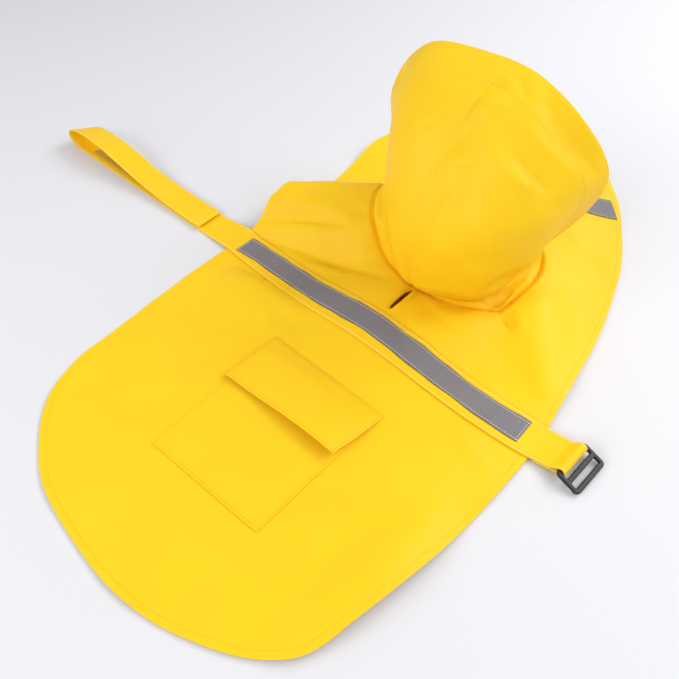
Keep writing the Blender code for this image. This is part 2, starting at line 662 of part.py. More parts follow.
def make_buckle(plastic, parts, cutters):
    """Three bars in a rounded frame: the strap is sewn round the inner bar."""
    middle = (BUCKLE_WIDTH - BUCKLE_BAR) / 2
    frame = add_box("buckle", (BUCKLE_WIDTH, BUCKLE_LENGTH, BUCKLE_THICK), (middle, 0, 0), parts)
    frame.data.materials.append(plastic)
    corners = frame.modifiers.new("corners", "BEVEL")
    corners.width = BUCKLE_CORNER * MM
    corners.segments = BUCKLE_CORNER_STEPS
    corners.limit_method = "WEIGHT"
    weights = frame.data.attributes.new("bevel_weight_edge", "FLOAT", "EDGE")
    for edge in frame.data.edges:
        ends = [frame.data.vertices[index].co for index in edge.vertices]
        upright = abs(ends[0].z - ends[1].z) > BUCKLE_THICK / 2 * MM
        weights.data[edge.index].value = 1.0 if upright else 0.0
    slot_width = (BUCKLE_WIDTH - 3 * BUCKLE_BAR) / 2
    slot_length = BUCKLE_LENGTH - 2 * BUCKLE_BAR + BUCKLE_SLOT_EXTRA
    for number in range(2):
        centre = ((BUCKLE_BAR + slot_width) * (number + 0.5), 0, 0)
        size = (slot_width, slot_length, SLOT_CUTTER_DEPTH)
        cutter = add_box(f"slot_cutter_{number + 1}", size, centre, cutters)
        hide_cutter(cutter)
        cutter.parent = frame
        slot = frame.modifiers.new(f"slot_{number + 1}", "BOOLEAN")
        slot.operation = "DIFFERENCE"
        slot.solver = "EXACT"
        slot.object = cutter
    edges = frame.modifiers.new("edges", "BEVEL")
    edges.width = BUCKLE_EDGE * MM
    edges.segments = BUCKLE_EDGE_STEPS
    edges.limit_method = "ANGLE"
    edges.angle_limit = BUCKLE_EDGE_ANGLE
    frame.location = in_metres(BUCKLE_PLACE)
    frame.rotation_euler = (0.0, BUCKLE_TILT, BUCKLE_LEAN)
    return frame


def main():
    clear_scene()
    parts = make_collection("dog_raincoat")
    cutters = make_collection("cutters")
    cloth = make_material(*CLOTH)
    reflective = make_material(*REFLECTIVE)
    plastic = make_material(*PLASTIC)
    fastener = make_material(*FASTENER)
    panel = make_body_panel(cloth, parts, cutters)
    make_hood_half("hood_right", 1, cloth, parts)
    make_hood_half("hood_left", -1, cloth, parts)
    strap = make_strap(cloth, parts, panel)
    make_belt_tape(reflective, parts, strap)
    make_chest_tape(reflective, parts, panel)
    pocket = make_pocket(cloth, parts, panel)
    make_flap(cloth, parts, panel, pocket)
    make_hook_patch(fastener, parts)
    make_buckle(plastic, parts, cutters)


main()
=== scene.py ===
# %% [markdown]
# # A dog raincoat laid out on a table
#
# The real coat is cut from yellow coated polyester: one oval body panel with a neck opening, a hood
# of two halves, a belly strap with a plastic buckle, two reflective tapes and a pocket with a flap.
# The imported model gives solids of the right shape.  Here each piece of cloth is made again as a
# thin, finely divided shell with its creases, then sewn and given its finish.

# %% Load the frame
import math

import bmesh
import bpy
import numpy as np
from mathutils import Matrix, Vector, noise
from mathutils.bvhtree import BVHTree


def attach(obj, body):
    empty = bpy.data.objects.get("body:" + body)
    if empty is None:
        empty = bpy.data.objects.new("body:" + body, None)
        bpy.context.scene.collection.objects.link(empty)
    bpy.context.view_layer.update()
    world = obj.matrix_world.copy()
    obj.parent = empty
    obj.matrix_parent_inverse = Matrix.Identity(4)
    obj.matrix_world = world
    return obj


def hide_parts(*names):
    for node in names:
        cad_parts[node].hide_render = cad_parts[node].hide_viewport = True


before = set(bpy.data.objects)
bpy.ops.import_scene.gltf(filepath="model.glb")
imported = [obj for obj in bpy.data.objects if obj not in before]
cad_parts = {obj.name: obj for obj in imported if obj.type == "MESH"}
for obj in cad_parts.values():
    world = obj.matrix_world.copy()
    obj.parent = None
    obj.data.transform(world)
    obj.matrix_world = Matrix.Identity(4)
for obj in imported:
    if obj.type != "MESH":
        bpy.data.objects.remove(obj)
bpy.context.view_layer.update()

print("solids:", ", ".join(sorted(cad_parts)))

# %% [markdown]
# ## Camera
#
# The coat is seen from behind its right side, from about 49 degrees above the table.  The camera is
# placed first, because its view decides how fine each piece has to be: here a pixel is about 1 mm.

# %% Camera
def aim(name, data, spot, target):
    """Add a camera or a light that looks from a spot at a target."""
    item = bpy.data.objects.new(name, data)
    item.location = spot
    item.rotation_euler = (Vector(target) - Vector(spot)).to_track_quat("-Z", "Y").to_euler()
    bpy.context.collection.objects.link(item)
    return item


lens = bpy.data.cameras.new("camera")
lens.sensor_width, lens.lens = 36.0, 32.87      # mm
lens.clip_start = 0.01
camera = aim("camera", lens, (0.2664, -0.18505, 0.4827), (-0.01253, 0.120, 0.0))
bpy.context.scene.camera = camera
print("camera height:", round(camera.location.z, 3), "m")

# %% [markdown]
# ## Curves and soft steps
#
# Cloth has no straight lines and no sharp corners.  Two helpers do most of the work: a curve that
# passes smoothly through a few given points, and a step that starts and ends gently.  All sizes in
# this lesson are in millimetres, and become metres only when a mesh is made.

# %% Curves and soft steps
MM = 0.001


def smoothstep(value, low, high):
    """0 below low, 1 above high and a soft step between them."""
    share = np.clip((np.asarray(value, float) - low) / (high - low), 0.0, 1.0)
    return share * share * (3.0 - 2.0 * share)


def curve_at(points, places, closed=False):
    """Catmull-Rom curve through the points, read at places counted in points."""
    points = np.asarray(points, float)
    total = len(points)
    last = total if closed else total - 1
    span = np.clip(np.floor(places), 0, last - 1).astype(int)
    t = (np.asarray(places, float) - span)[:, None]
    around = [span + shift for shift in (-1, 0, 1, 2)]
    before, start, end, after = [points[i % total if closed else np.clip(i, 0, total - 1)]
                                 for i in around]
    bend = 2 * before - 5 * start + 4 * end - after
    twist = 3 * start - before - 3 * end + after
    return 0.5 * (2 * start + (end - before) * t + bend * t ** 2 + twist * t ** 3)


def even_path(points, shares, closed=False, steps=24):
    """Points of the smooth curve at shares of its length; steps are counted between two points."""
    last = len(points) if closed else len(points) - 1
    dense = curve_at(points, np.linspace(0.0, last, steps * last + 1), closed)
    lengths = np.concatenate([[0.0], np.cumsum(np.linalg.norm(np.diff(dense, axis=0), axis=1))])
    wanted = np.asarray(shares) * lengths[-1]
    return np.stack([np.interp(wanted, lengths, axis) for axis in dense.T], axis=1)


print("a soft step at a quarter of its way:", float(smoothstep(0.25, 0.0, 1.0)))

# %% [markdown]
# ## A sheet of cloth
#
# Each piece starts as a grid of points, made into a mesh of four-sided faces.  Each point also
# remembers how far it is from the sewn edges, so that the material can press a seam into the cloth at
# the right distance.  Modifiers then give the sheet its wall and its soft edge.

# %% A sheet of cloth
def cloth_mesh(name, grid, marks=None, closed=False):
    """A mesh from a grid of points in mm; marks are named values stored at the points."""
    rows, columns = grid.shape[:2]
    mesh = bpy.data.meshes.new(name)
    index = np.arange(rows * columns).reshape(rows, columns)
    right = np.roll(index, -1, axis=1)
    kept = slice(None) if closed else slice(0, columns - 1)
    quads = np.stack([index[:-1, kept], right[:-1, kept], right[1:, kept], index[1:, kept]], axis=-1)
    mesh.from_pydata((grid.reshape(-1, 3) * MM).tolist(), [], quads.reshape(-1, 4).tolist())
    for mark, values in (marks or {}).items():
        layer = mesh.attributes.new(mark, "FLOAT", "POINT")
        layer.data.foreach_set("value", np.ascontiguousarray(values, dtype=np.float32).ravel())
    mesh.shade_smooth()
    return mesh


def merge_points(mesh):
    """Join points that lie in one place."""
    shape = bmesh.new()
    shape.from_mesh(mesh)
    bmesh.ops.remove_doubles(shape, verts=shape.verts, dist=1e-6)
    shape.to_mesh(mesh)
    shape.free()


def modify(piece, kind, **settings):
    """Add a modifier with its settings."""
    modifier = piece.modifiers.new(kind.lower(), kind)
    for name, value in settings.items():
        setattr(modifier, name, value)
    return modifier


def add_piece(name, mesh, wall=0.0, round_edge=0.0):
    """A piece from a mesh, with its wall along the normals and a soft edge, both in mm."""
    piece = bpy.data.objects.new(name, mesh)
    bpy.context.collection.objects.link(piece)
    if wall > 0.0:
        modify(piece, "SOLIDIFY", thickness=wall * MM, offset=1.0)
    if round_edge > 0.0:
        modify(piece, "BEVEL", width=round_edge * MM, segments=2, limit_method="ANGLE",
               angle_limit=math.radians(50.0))
    return piece


def finished(piece):
    """The piece with its modifiers applied; cut edges stay crisp, folds stay soft."""
    bpy.context.view_layer.update()
    result = piece.evaluated_get(bpy.context.evaluated_depsgraph_get())
    piece.data = bpy.data.meshes.new_from_object(result)
    piece.modifiers.clear()
    piece.data.name = piece.name
    piece.data.set_sharp_from_angle(angle=math.radians(55.0))
    return piece


def tree_of(piece):
    """A search tree of a finished piece, to lay others on it."""
    bpy.context.view_layer.update()
    return BVHTree.FromObject(piece, bpy.context.evaluated_depsgraph_get())


DOWN = Vector((0.0, 0.0, -1.0))


def top_of(trees, plan):
    """Heights in mm of the highest surface under each (x, y) of a grid."""
    heights = np.zeros(plan.shape[:-1])
    for place in np.ndindex(heights.shape):
        above = Vector((*(plan[place] * MM), 1.0))
        hits = [tree.ray_cast(above, DOWN)[0] for tree in trees]
        heights[place] = max([hit.z / MM for hit in hits if hit is not None], default=0.0)
    return heights


def count_of(*pieces):
    """How many triangles the pieces have, in words."""
    counts = [sum(len(face.vertices) - 2 for face in piece.data.polygons) for piece in pieces]
    return " and ".join(str(count) for count in counts) + " triangles"


FINE = 1.0


def fine(count):
    """A count of rows for this run."""
    return max(4, int(round(count * FINE)))


print("rows in this run:", f"{FINE:.0%}")

# %% [markdown]
# ## How the body panel lies
#
# The panel is one flat cut, but it doesn't lie flat: the collar lifts it round the neck, a soft hump
# runs under the strap, and on the left the cloth is pushed up into one large fold with ripples in its
# flank.  Its height is a function of the place on the table, so everything else can ask for it.

# %% Outline and neck of the body panel
# Anticlockwise from the middle of the tail; columns: x, y
OUTLINE = (
    (8, -183), (65, -177), (113, -160), (148, -140), (172, -114), (183, -72), (192, -25),
    (198, 20), (202, 85), (202, 150), (193, 222), (184, 290), (169, 355), (147, 425),
    (113, 489), (70, 536), (25, 567), (-35, 579), (-100, 566), (-160, 527), (-196, 478),
    (-212, 420), (-208, 365), (-200, 312), (-199, 255), (-199, 200), (-203, 140), (-201, 80),
    (-196, 20), (-191, -30), (-186, -78), (-166, -120), (-128, -152), (-78, -174),
)
# Anticlockwise from the middle of the back; columns: x, y
NECK = (
    (4, 221), (32, 225), (56, 232), (76, 241), (90, 253), (94, 270), (95, 292), (94, 315),
    (89, 338), (76, 359), (52, 374), (20, 382), (-15, 384), (-48, 378), (-76, 360),
    (-92, 333), (-99, 308), (-98, 284), (-93, 266), (-82, 252), (-65, 241), (-44, 233), (-20, 226),
)
NECK_CENTRE = np.array([0.0, 300.0])
NECK_SAMPLES, OUTLINE_SAMPLES = 360, 720
NECK_FINE = even_path(NECK, np.arange(NECK_SAMPLES) / NECK_SAMPLES, closed=True)
OUTLINE_FINE = even_path(OUTLINE, np.arange(OUTLINE_SAMPLES) / OUTLINE_SAMPLES, closed=True)


def distance_to(line, x, y):
    """Distance of each (x, y) from the nearest point of a fine line."""
    places = np.stack([np.ravel(x), np.ravel(y)], axis=1)
    nearest = np.full(len(places), np.inf)
    for point in line:
        nearest = np.minimum(nearest, ((places - point) ** 2).sum(axis=1))
    return np.sqrt(nearest).reshape(np.shape(x))


hem_length = np.linalg.norm(np.diff(OUTLINE_FINE, axis=0), axis=1).sum()
print("the hem is about", round(hem_length), "mm long")

# %% Large folds of the body panel
COLLAR_RISE, COLLAR_REACH = 13.0, 70.0
HUMP_RISE, HUMP_HALF_WIDTH, HUMP_FROM, HUMP_TO = 13.0, 130.0, 70.0, 165.0
FOLD_POWER, FOLD_BLEND = 1.3, 2.5       # profile of a fold, and how closely two folds join
# A crest runs from one point to the other; near is its half-width on the right-hand side of that run
# and far on the left; beyond each end it dies away over the fade.  Columns:
# from_x, from_y, to_x, to_y, rise_from, rise_to, near_from, near_to, far, fade_from, fade_to
SHOULDER_FOLD = (-199, 227, -101, 282, 42, 57, 57, 86, 46, 60, 90)
SOFT_FOLDS = (
    (-245, 418, 112, 548, 10, 10, 76, 76, 76, 40, 40),      # wave across the chest
    (200, -75, 200, -40, 6, 6, 60, 60, 70, 95, 95),         # lifted edge on the right of the tail
    (-200, 197, -100, 228, 4, 4, 14, 18, 16, 30, 50),       # ripple below the shoulder fold
    (118, 288, 176, 205, 5, 4, 38, 38, 38, 40, 60),         # ridge from the collar to the right edge
)


def fold(row, x, y):
    """Height of one large fold."""
    from_x, from_y, to_x, to_y, rise_from, rise_to, near_from, near_to, far, fade_from, fade_to = row
    length = math.hypot(to_x - from_x, to_y - from_y)
    run_x = (to_x - from_x) / length
    run_y = (to_y - from_y) / length
    along = (x - from_x) * run_x + (y - from_y) * run_y
    aside = (x - from_x) * run_y - (y - from_y) * run_x
    share = np.clip(along / length, 0.0, 1.0)
    half_width = np.where(aside > 0.0, near_from + (near_to - near_from) * share, far)
    profile = (1.0 - np.clip(np.abs(aside) / half_width, 0.0, 1.0) ** 2) ** FOLD_POWER
    ends = smoothstep(along, -fade_from, 0.0) * (1.0 - smoothstep(along, length, length + fade_to))
    return (rise_from + (rise_to - rise_from) * share) * profile * ends


def panel_height(x, y):
    """Height of the panel's underside, as in the solids."""
    collar = COLLAR_RISE * (1.0 - smoothstep(distance_to(NECK_FINE, x, y), 0.0, COLLAR_REACH))
    across = np.cos(np.clip(np.abs(x) / HUMP_HALF_WIDTH, 0.0, 1.0) * math.pi / 2) ** 2
    low = np.maximum(collar, HUMP_RISE * across * smoothstep(y, HUMP_FROM, HUMP_TO))
    high = fold(SHOULDER_FOLD, x, y)
    joined = (high ** FOLD_BLEND + low ** FOLD_BLEND) ** (1.0 / FOLD_BLEND)
    return joined + sum(fold(row, x, y) for row in SOFT_FOLDS)


print("top of the shoulder fold:", round(float(panel_height(-101.0, 282.0))), "mm")

# %% [markdown]
# ## Creases
#
# Coated cloth takes creases where it is pulled and pushed.  Each is listed as a smooth line through
# two to four points, its half-width on the left and on the right of that run, and its height, which
# is negative for a trough.  Unlike half-widths give one crisp flank and one long soft one.  A very
# weak layer of broad noise keeps the flat parts from looking ironed.

# %% Creases
CREASE_STEPS = 28
CREASE_FADE = 0.9           # a crease dies away and narrows towards both ends; less is later
CREASE_DEPTH = 18.0         # how far below a bulge a crease's line may pass, in mm


def crease(row, points, normals):
    """Height of one crease at points (n, 2 or 3); the row holds its line, half-widths and height."""
    line, left_width, right_width, height = row
    spots = even_path(line, np.linspace(0.0, 1.0, CREASE_STEPS + 1))
    runs = np.gradient(spots, axis=0)
    runs /= np.linalg.norm(runs, axis=1)[:, None]
    spacing = np.linalg.norm(spots[1] - spots[0])
    best = np.full(len(points), np.inf)
    side = np.zeros(len(points))
    share = np.zeros(len(points))
    for number, (spot, run) in enumerate(zip(spots, runs)):
        offset = points - spot
        if normals is None:
            left = np.array([-run[1], run[0]])
        else:
            depth = (offset * normals).sum(axis=1)
            offset = offset - normals * np.clip(depth, -CREASE_DEPTH, CREASE_DEPTH)[:, None]
            left = np.cross(normals, run)
        along = np.clip(offset @ run, -spacing / 2, spacing / 2)
        away = np.linalg.norm(offset - along[:, None] * run, axis=1)
        nearer = away < best
        best = np.where(nearer, away, best)
        side = np.where(nearer, (offset * left).sum(axis=1), side)
        share = np.where(nearer, (number + along / spacing) / CREASE_STEPS, share)
    ends = np.sin(math.pi * np.clip(share, 0.0, 1.0)) ** CREASE_FADE
    width = np.where(side > 0.0, left_width, right_width) * (0.5 + 0.5 * ends)
    return height * ends * np.exp(-(best / width) ** 2)


def creases(table, grid, normals=None):
    """Heights of all creases of a table over a grid of points."""
    points = grid.reshape(-1, grid.shape[-1])
    ways = None if normals is None else normals.reshape(-1, 3)
    return sum(crease(row, points, ways) for row in table).reshape(grid.shape[:-1])


def soft_noise(points, scale, seed):
    """Smooth noise from -1 to 1; scale is the size of its bumps in mm."""
    shift = Vector((seed * 17.3, seed * 7.1, seed * 3.7))
    flat = points.reshape(-1, points.shape[-1]) / scale
    values = [noise.noise(Vector((*point, 0.0)[:3]) + shift) for point in flat.tolist()]
    return np.array(values).reshape(points.shape[:-1])


print("noise at one place:", round(float(soft_noise(np.array([[10.0, 20.0]]), 60.0, 1)[0]), 3))

# %% [markdown]
# ## Body panel
#
# Rings of points run from the neck seam to the outline, closer together where the shapes are small.
# The shell keeps the solid's upper face, so the tapes, strap and pocket can lie where they do on the
# real coat.  The leash slit is cut through it at the end.

# %% Creases of the body panel
# Columns: line, left half-width, right half-width, height
PANEL_CREASES = (
    (((-210, 180), (-172, 201), (-140, 216), (-98, 229)), 10, 6, -9.0),     # shoulder fold's valley
    (((-200, 200), (-160, 221), (-112, 241)), 9, 6, 3.0),
    (((-188, 180), (-110, 209), (-46, 232)), 6, 8, 1.6),
    (((-134, 172), (-97, 195), (-51, 206), (-24, 208)), 9, 8, -2.6),
    (((-150, 176), (-100, 182), (-60, 192)), 8, 6, 1.8),
    (((-124, 206), (-88, 219)), 3, 3, -1.4),
    (((-110, 200), (-70, 214)), 3, 3, -1.0),
    (((-196, 232), (-150, 246), (-122, 262)), 7, 6, -1.8),
    (((-186, 254), (-140, 268)), 8, 8, 1.4),
    (((-178, 110), (-120, 112), (-58, 115)), 14, 38, 8.5),      # below the strap, on the left
    (((-140, 120), (-126, 127)), 3, 3, -1.6),
    (((-154, 117), (-146, 125)), 3, 3, -1.0),
    (((-100, 98), (-62, 104), (-34, 116)), 7, 9, -1.2),
    (((20, 110), (80, 114), (130, 108)), 9, 12, 1.6),           # below the strap, on the right
    (((140, 112), (166, 100), (192, 96)), 8, 9, 1.8),
    (((88, 253), (103, 244), (118, 236)), 9, 3, -5.0),          # below the neck's right corner
    (((104, 262), (116, 250), (128, 240)), 6, 8, 1.6),
    (((30, 174), (56, 189), (72, 210), (88, 242)), 21, 28, 8.0),        # ridge in front of the hood
    (((26, 220), (44, 222), (64, 230), (80, 242)), 6, 9, -3.0),         # between it and the neck
    (((84, 222), (104, 214), (122, 214)), 6, 8, -1.4),
    (((108, 318), (132, 274), (160, 228), (186, 192)), 28, 26, 6.5),    # from the collar outwards
    (((134, 214), (158, 200), (172, 180)), 8, 12, -1.4),
    (((130, 330), (150, 352), (160, 372)), 12, 14, 1.2),
    (((150, 262), (186, 240)), 9, 10, 1.0),
    (((152, -140), (170, -72), (176, 0), (170, 56)), 27, 22, 8.5),      # raised right of the tail
    (((98, -20), (130, -6), (158, 20)), 12, 12, 1.2),
    (((-66, 70), (-84, 84), (-100, 96)), 5, 6, 1.0),            # pulled by the flap's corner
    (((-64, 30), (-80, 22), (-94, 6)), 5, 6, 0.9),
    (((-62, -20), (-90, -24), (-122, -40)), 10, 12, 1.2),
    (((-80, -90), (-112, -96), (-150, -112)), 12, 12, 1.4),
    (((88, 30), (120, 40), (160, 36)), 10, 12, 1.3),
    (((88, 64), (110, 72), (150, 70)), 9, 9, 1.0),
    (((84, -40), (110, -48), (134, -62)), 9, 10, 1.0),
    (((30, -108), (66, -124), (100, -138)), 12, 12, 1.4),
    (((-50, -104), (-20, -130), (6, -160)), 11, 12, 1.2),
    (((-196, 300), (-172, 318), (-150, 330)), 10, 10, 2.0),     # left of the neck, chest's far side
    (((-190, 360), (-150, 366), (-120, 380)), 12, 12, 2.0),
    (((-60, 420), (-20, 436), (20, 440)), 14, 14, 1.8),
    (((60, 430), (90, 420), (110, 400)), 12, 12, 1.6),
    (((-150, 470), (-100, 492), (-60, 500)), 13, 13, 1.6),
    (((20, 500), (56, 490), (80, 470)), 12, 12, 1.4),
)
print("creases of the panel:", len(PANEL_CREASES))

# %% Body panel
PANEL_COLUMNS, PANEL_RINGS = 440, 88
RING_CROWDING = 1.25        # closer rings near the neck
SIDE_CROWDING, SIDE_CROWDED_AT = 0.22, 0.76     # more columns at the left shoulder
SOLID_WALL = 1.6            # wall of the solid
CLOTH_WALL = 1.2            # wall of the shell, which keeps the solid's upper face
FLOOR_GAP = 0.2             # the least height of a lower face above the table
NECK_ROLL, NECK_ROLL_RIGHT = 3.0, 3.0           # dip of the neck's edge, and more at its right corner
NECK_ROLL_REACH, NECK_ROLL_GROWS = 5.5, (40.0, 88.0)    # it grows deeper between these places x
NECK_TUCK = 0.45            # how far the panel's neck edge is turned in under the hood
SLIT_X, SLIT_FROM, SLIT_TO = 5.5, 176.5, 216.5
SLIT_WIDTH, SLIT_STEPS = 6.2, 14
SLIT_MIDDLE = (SLIT_X, (SLIT_FROM + SLIT_TO) / 2)
PANEL_NOISE, PANEL_NOISE_SCALE = 0.9, 38.0
PANEL_HEM, NECK_STITCH, SLIT_STITCH = 6.0, 3.0, 2.5     # sewn lines, from the edges of the cloth
LIP_DEPTH, LIP_LEFT, LIP_RIGHT = 5.0, 3.4, 2.4  # the lips are rolled down into the slit
LIP_RISE, LIP_RISE_AT = 2.2, 5.0        # beyond the roll, the right lip stands up a little


def slit_lips(x, y):
    """The cloth rolls down into the slit; its right lip stands up a little."""
    begins = smoothstep(y, SLIT_FROM - 3.0, SLIT_FROM + 9.0)
    within = begins * (1.0 - smoothstep(y, SLIT_TO - 6.0, SLIT_TO + 4.0))
    away = x - SLIT_X
    roll = -LIP_DEPTH * np.exp(-(away / np.where(away < 0.0, LIP_LEFT, LIP_RIGHT)) ** 2)
    return (roll + LIP_RISE * np.exp(-((away - LIP_RISE_AT) / LIP_RIGHT) ** 2)) * within


def neck_roll(distance, x):
    """How far the cloth dips at a distance from the neck seam."""
    depth = NECK_ROLL + NECK_ROLL_RIGHT * smoothstep(x, *NECK_ROLL_GROWS)
    return depth * (1.0 - smoothstep(distance, 0.0, NECK_ROLL_REACH))


def make_body_shell():
    even = np.arange(fine(PANEL_COLUMNS)) / fine(PANEL_COLUMNS)
    turn = 2 * math.pi
    swing = np.sin(turn * (even - SIDE_CROWDED_AT)) + math.sin(turn * SIDE_CROWDED_AT)
    inner = even_path(NECK, even, closed=True)
    outer = even_path(OUTLINE, even - SIDE_CROWDING * swing / turn, closed=True)
    shares = (np.arange(fine(PANEL_RINGS), -1, -1) / fine(PANEL_RINGS)) ** RING_CROWDING
    flat = inner + (outer - inner) * shares[:, None, None]
    inward = NECK_CENTRE - inner
    flat[-1] += inward / np.linalg.norm(inward, axis=1)[:, None] * NECK_TUCK
    x, y = flat[..., 0], flat[..., 1]
    from_neck = distance_to(NECK_FINE, x, y)
    lift = creases(PANEL_CREASES, flat) + PANEL_NOISE * (1.0 + soft_noise(flat, PANEL_NOISE_SCALE, 1))
    lift += slit_lips(x, y) - neck_roll(from_neck, x)
    heights = np.maximum(panel_height(x, y) + lift + SOLID_WALL - CLOTH_WALL, FLOOR_GAP)
    grid = np.dstack([flat, heights])
    marks = {"from_hem": distance_to(OUTLINE_FINE, x, y), "from_seam": from_neck}
    return add_piece("body_shell", cloth_mesh("body_shell", grid, marks, closed=True), CLOTH_WALL)


body_shell = make_body_shell()
print("body shell:", len(body_shell.data.polygons), "faces before its wall")

# %% Leash slit
def slit_lens(margin):
    """Points of a lens round the slit, anticlockwise, at a margin from it."""
    along = np.cos(np.linspace(0.0, math.pi, SLIT_STEPS + 1))
    side = (1.0 - along ** 4) * (SLIT_WIDTH / 2 + margin)
    right = np.column_stack([side, -along * ((SLIT_TO - SLIT_FROM) / 2 + margin)])[:-1]
    return np.vstack([right, -right]) + SLIT_MIDDLE


def cut_slit(piece):
    """Cut the slit through the shell with a lens-shaped prism."""
    lens = slit_lens(0.0) * MM
    count = len(lens)
    corners = [(x, y, z) for z in (-0.01, 0.05) for x, y in lens]
    walls = [(i, (i + 1) % count, (i + 1) % count + count, i + count) for i in range(count)]
    mesh = bpy.data.meshes.new("slit_cutter")
    mesh.from_pydata(corners, [], [tuple(range(count))[::-1], tuple(range(count, 2 * count)), *walls])
    cutter = add_piece("slit_cutter", mesh)
    modify(piece, "BOOLEAN", operation="DIFFERENCE", solver="EXACT", object=cutter)
    finished(piece)
    bpy.data.objects.remove(cutter, do_unlink=True)


cut_slit(body_shell)
print("body shell:", count_of(body_shell), "with its slit")

# %% [markdown]
# ## Turned-in edges of the slit
#
# The edges of the slit are turned in about 10 mm and lie together below it, as one small sagging
# sheet under the panel.  What shows between the lips is its deep amber colour, which is painted
# shade.

# %% Turned-in edges of the slit
TURNED_IN, TURNED_IN_WALL = (26.0, 54.0), 0.6   # width and length, and wall
TURNED_IN_GAP, TURNED_IN_SAG = 2.0, 7.0         # below the panel, and more in the middle


def make_slit_edges():
    across, along = np.linspace(-0.5, 0.5, 13), np.linspace(-0.5, 0.5, 25)
    x, y = np.meshgrid(SLIT_X + across * TURNED_IN[0], SLIT_MIDDLE[1] + along * TURNED_IN[1],
                       indexing="ij")
    sag = TURNED_IN_SAG * (1.0 - (2 * across[:, None]) ** 2) * (1.0 - (2 * along) ** 4)
    grid = np.dstack([x, y, panel_height(x, y) - TURNED_IN_GAP - sag])
    return finished(add_piece("slit_edges_painted_shade", cloth_mesh("slit_edges_painted_shade", grid), TURNED_IN_WALL))


slit_edges_painted_shade = make_slit_edges()
print("turned-in edges:", count_of(slit_edges_painted_shade))

# %% [markdown]
# ## Hood
#
# Two halves meet in a seam over the top.  Each half is a loft: rows run from the seam down the side
# to the neck, and a table gives five places on each row.  The first rows fan out of one point at the
# back of the neck.  Broad dents and bulges give the collapsed look of cloth that stands by itself.

# %% Rows of the hood
NECK_STEPS = 96             # the neck seam is counted in this many steps, as in the solids
GAP = 0.3                   # between sewn solids
HOOD_RISE = 2.8             # height of the upright strip above the neck seam
HOOD_FIRST, HOOD_LAST = 2, {1: 34, -1: 36}      # steps of that seam; 1 is the right half, -1 the left
HOOD_ROWS, HOOD_POINTS = 116, 104
HOOD_FAN = 7                # rows between the back of the neck and the first full one
HOOD_SEAM_GAP = 0.16        # the halves all but touch
HOOD_SHARES = (0.05, 0.13, 0.30, 0.47, 0.62, 0.78, 0.90, 1.00)
# From the back of the neck over the top to the brim; columns: x, y, z
HOOD_SEAM = (
    (8, 211, 27), (8, 205, 44), (8, 198, 93), (9, 210, 139),
    (12, 229, 175), (16, 255, 207), (20, 279, 226), (23, 301, 236),
)
# Rows from the back of the neck to the brim; columns: crown, side, wide, low, tuck
HOOD_RIGHT = (
    ((12, 211, 27), (15, 213, 25), (18, 216, 22), (18, 219, 20), (17, 221, 18)),
    ((22, 205, 43), (32, 209, 38), (40, 216, 31), (43, 222, 25), (42, 226, 20)),
    ((42, 202, 88), (64, 211, 75), (76, 222, 58), (77, 232, 42), (66, 239, 23)),
    ((48, 210, 137), (82, 218, 124), (98, 236, 98), (98, 249, 68), (75, 258, 21)),
    ((51, 227, 173), (86, 234, 156), (106, 251, 128), (106, 265, 90), (76, 281, 21)),
    ((55, 250, 201), (88, 254, 181), (112, 269, 148), (109, 283, 104), (78, 305, 26)),
    ((58, 275, 219), (91, 278, 197), (118, 291, 163), (112, 303, 112), (84, 330, 40)),
    ((56, 299, 231), (96, 300, 209), (126, 318, 165), (117, 326, 112), (84, 350, 42)),
)
HOOD_LEFT = (
    ((4, 211, 27), (1, 213, 25), (-2, 216, 22), (-4, 219, 20), (-5, 221, 18)),
    ((-4, 206, 43), (-12, 211, 38), (-19, 218, 33), (-23, 224, 27), (-25, 228, 22)),
    ((-16, 204, 88), (-34, 218, 76), (-44, 232, 62), (-49, 239, 50), (-53, 242, 40)),
    ((-22, 214, 138), (-48, 230, 122), (-62, 249, 98), (-68, 259, 78), (-76, 262, 62)),
    ((-29, 229, 174), (-58, 244, 156), (-76, 268, 126), (-80, 276, 98), (-87, 280, 74)),
    ((-36, 251, 201), (-66, 260, 181), (-86, 281, 146), (-86, 292, 106), (-90, 298, 74)),
    ((-44, 275, 219), (-76, 281, 197), (-98, 294, 163), (-92, 306, 112), (-86, 322, 66)),
    ((-48, 301, 231), (-83, 302, 208), (-110, 318, 165), (-101, 327, 112), (-78, 344, 52)),
)


def hood_feet(columns):
    """Points inside the panel's neck edge, so that the hood's wall clears it."""
    neck = even_path(NECK, (columns / NECK_STEPS) % 1.0, closed=True)
    inward = NECK_CENTRE - neck
    inward /= np.linalg.norm(inward, axis=1)[:, None]
    heights = panel_height(*neck.T)
    slope = np.maximum(panel_height(*(neck - inward).T) - heights, 0.0)
    step = 2 * GAP + SOLID_WALL + SOLID_WALL * slope / np.sqrt(1.0 + slope ** 2)
    return np.column_stack([neck + inward * step[:, None], heights + GAP])


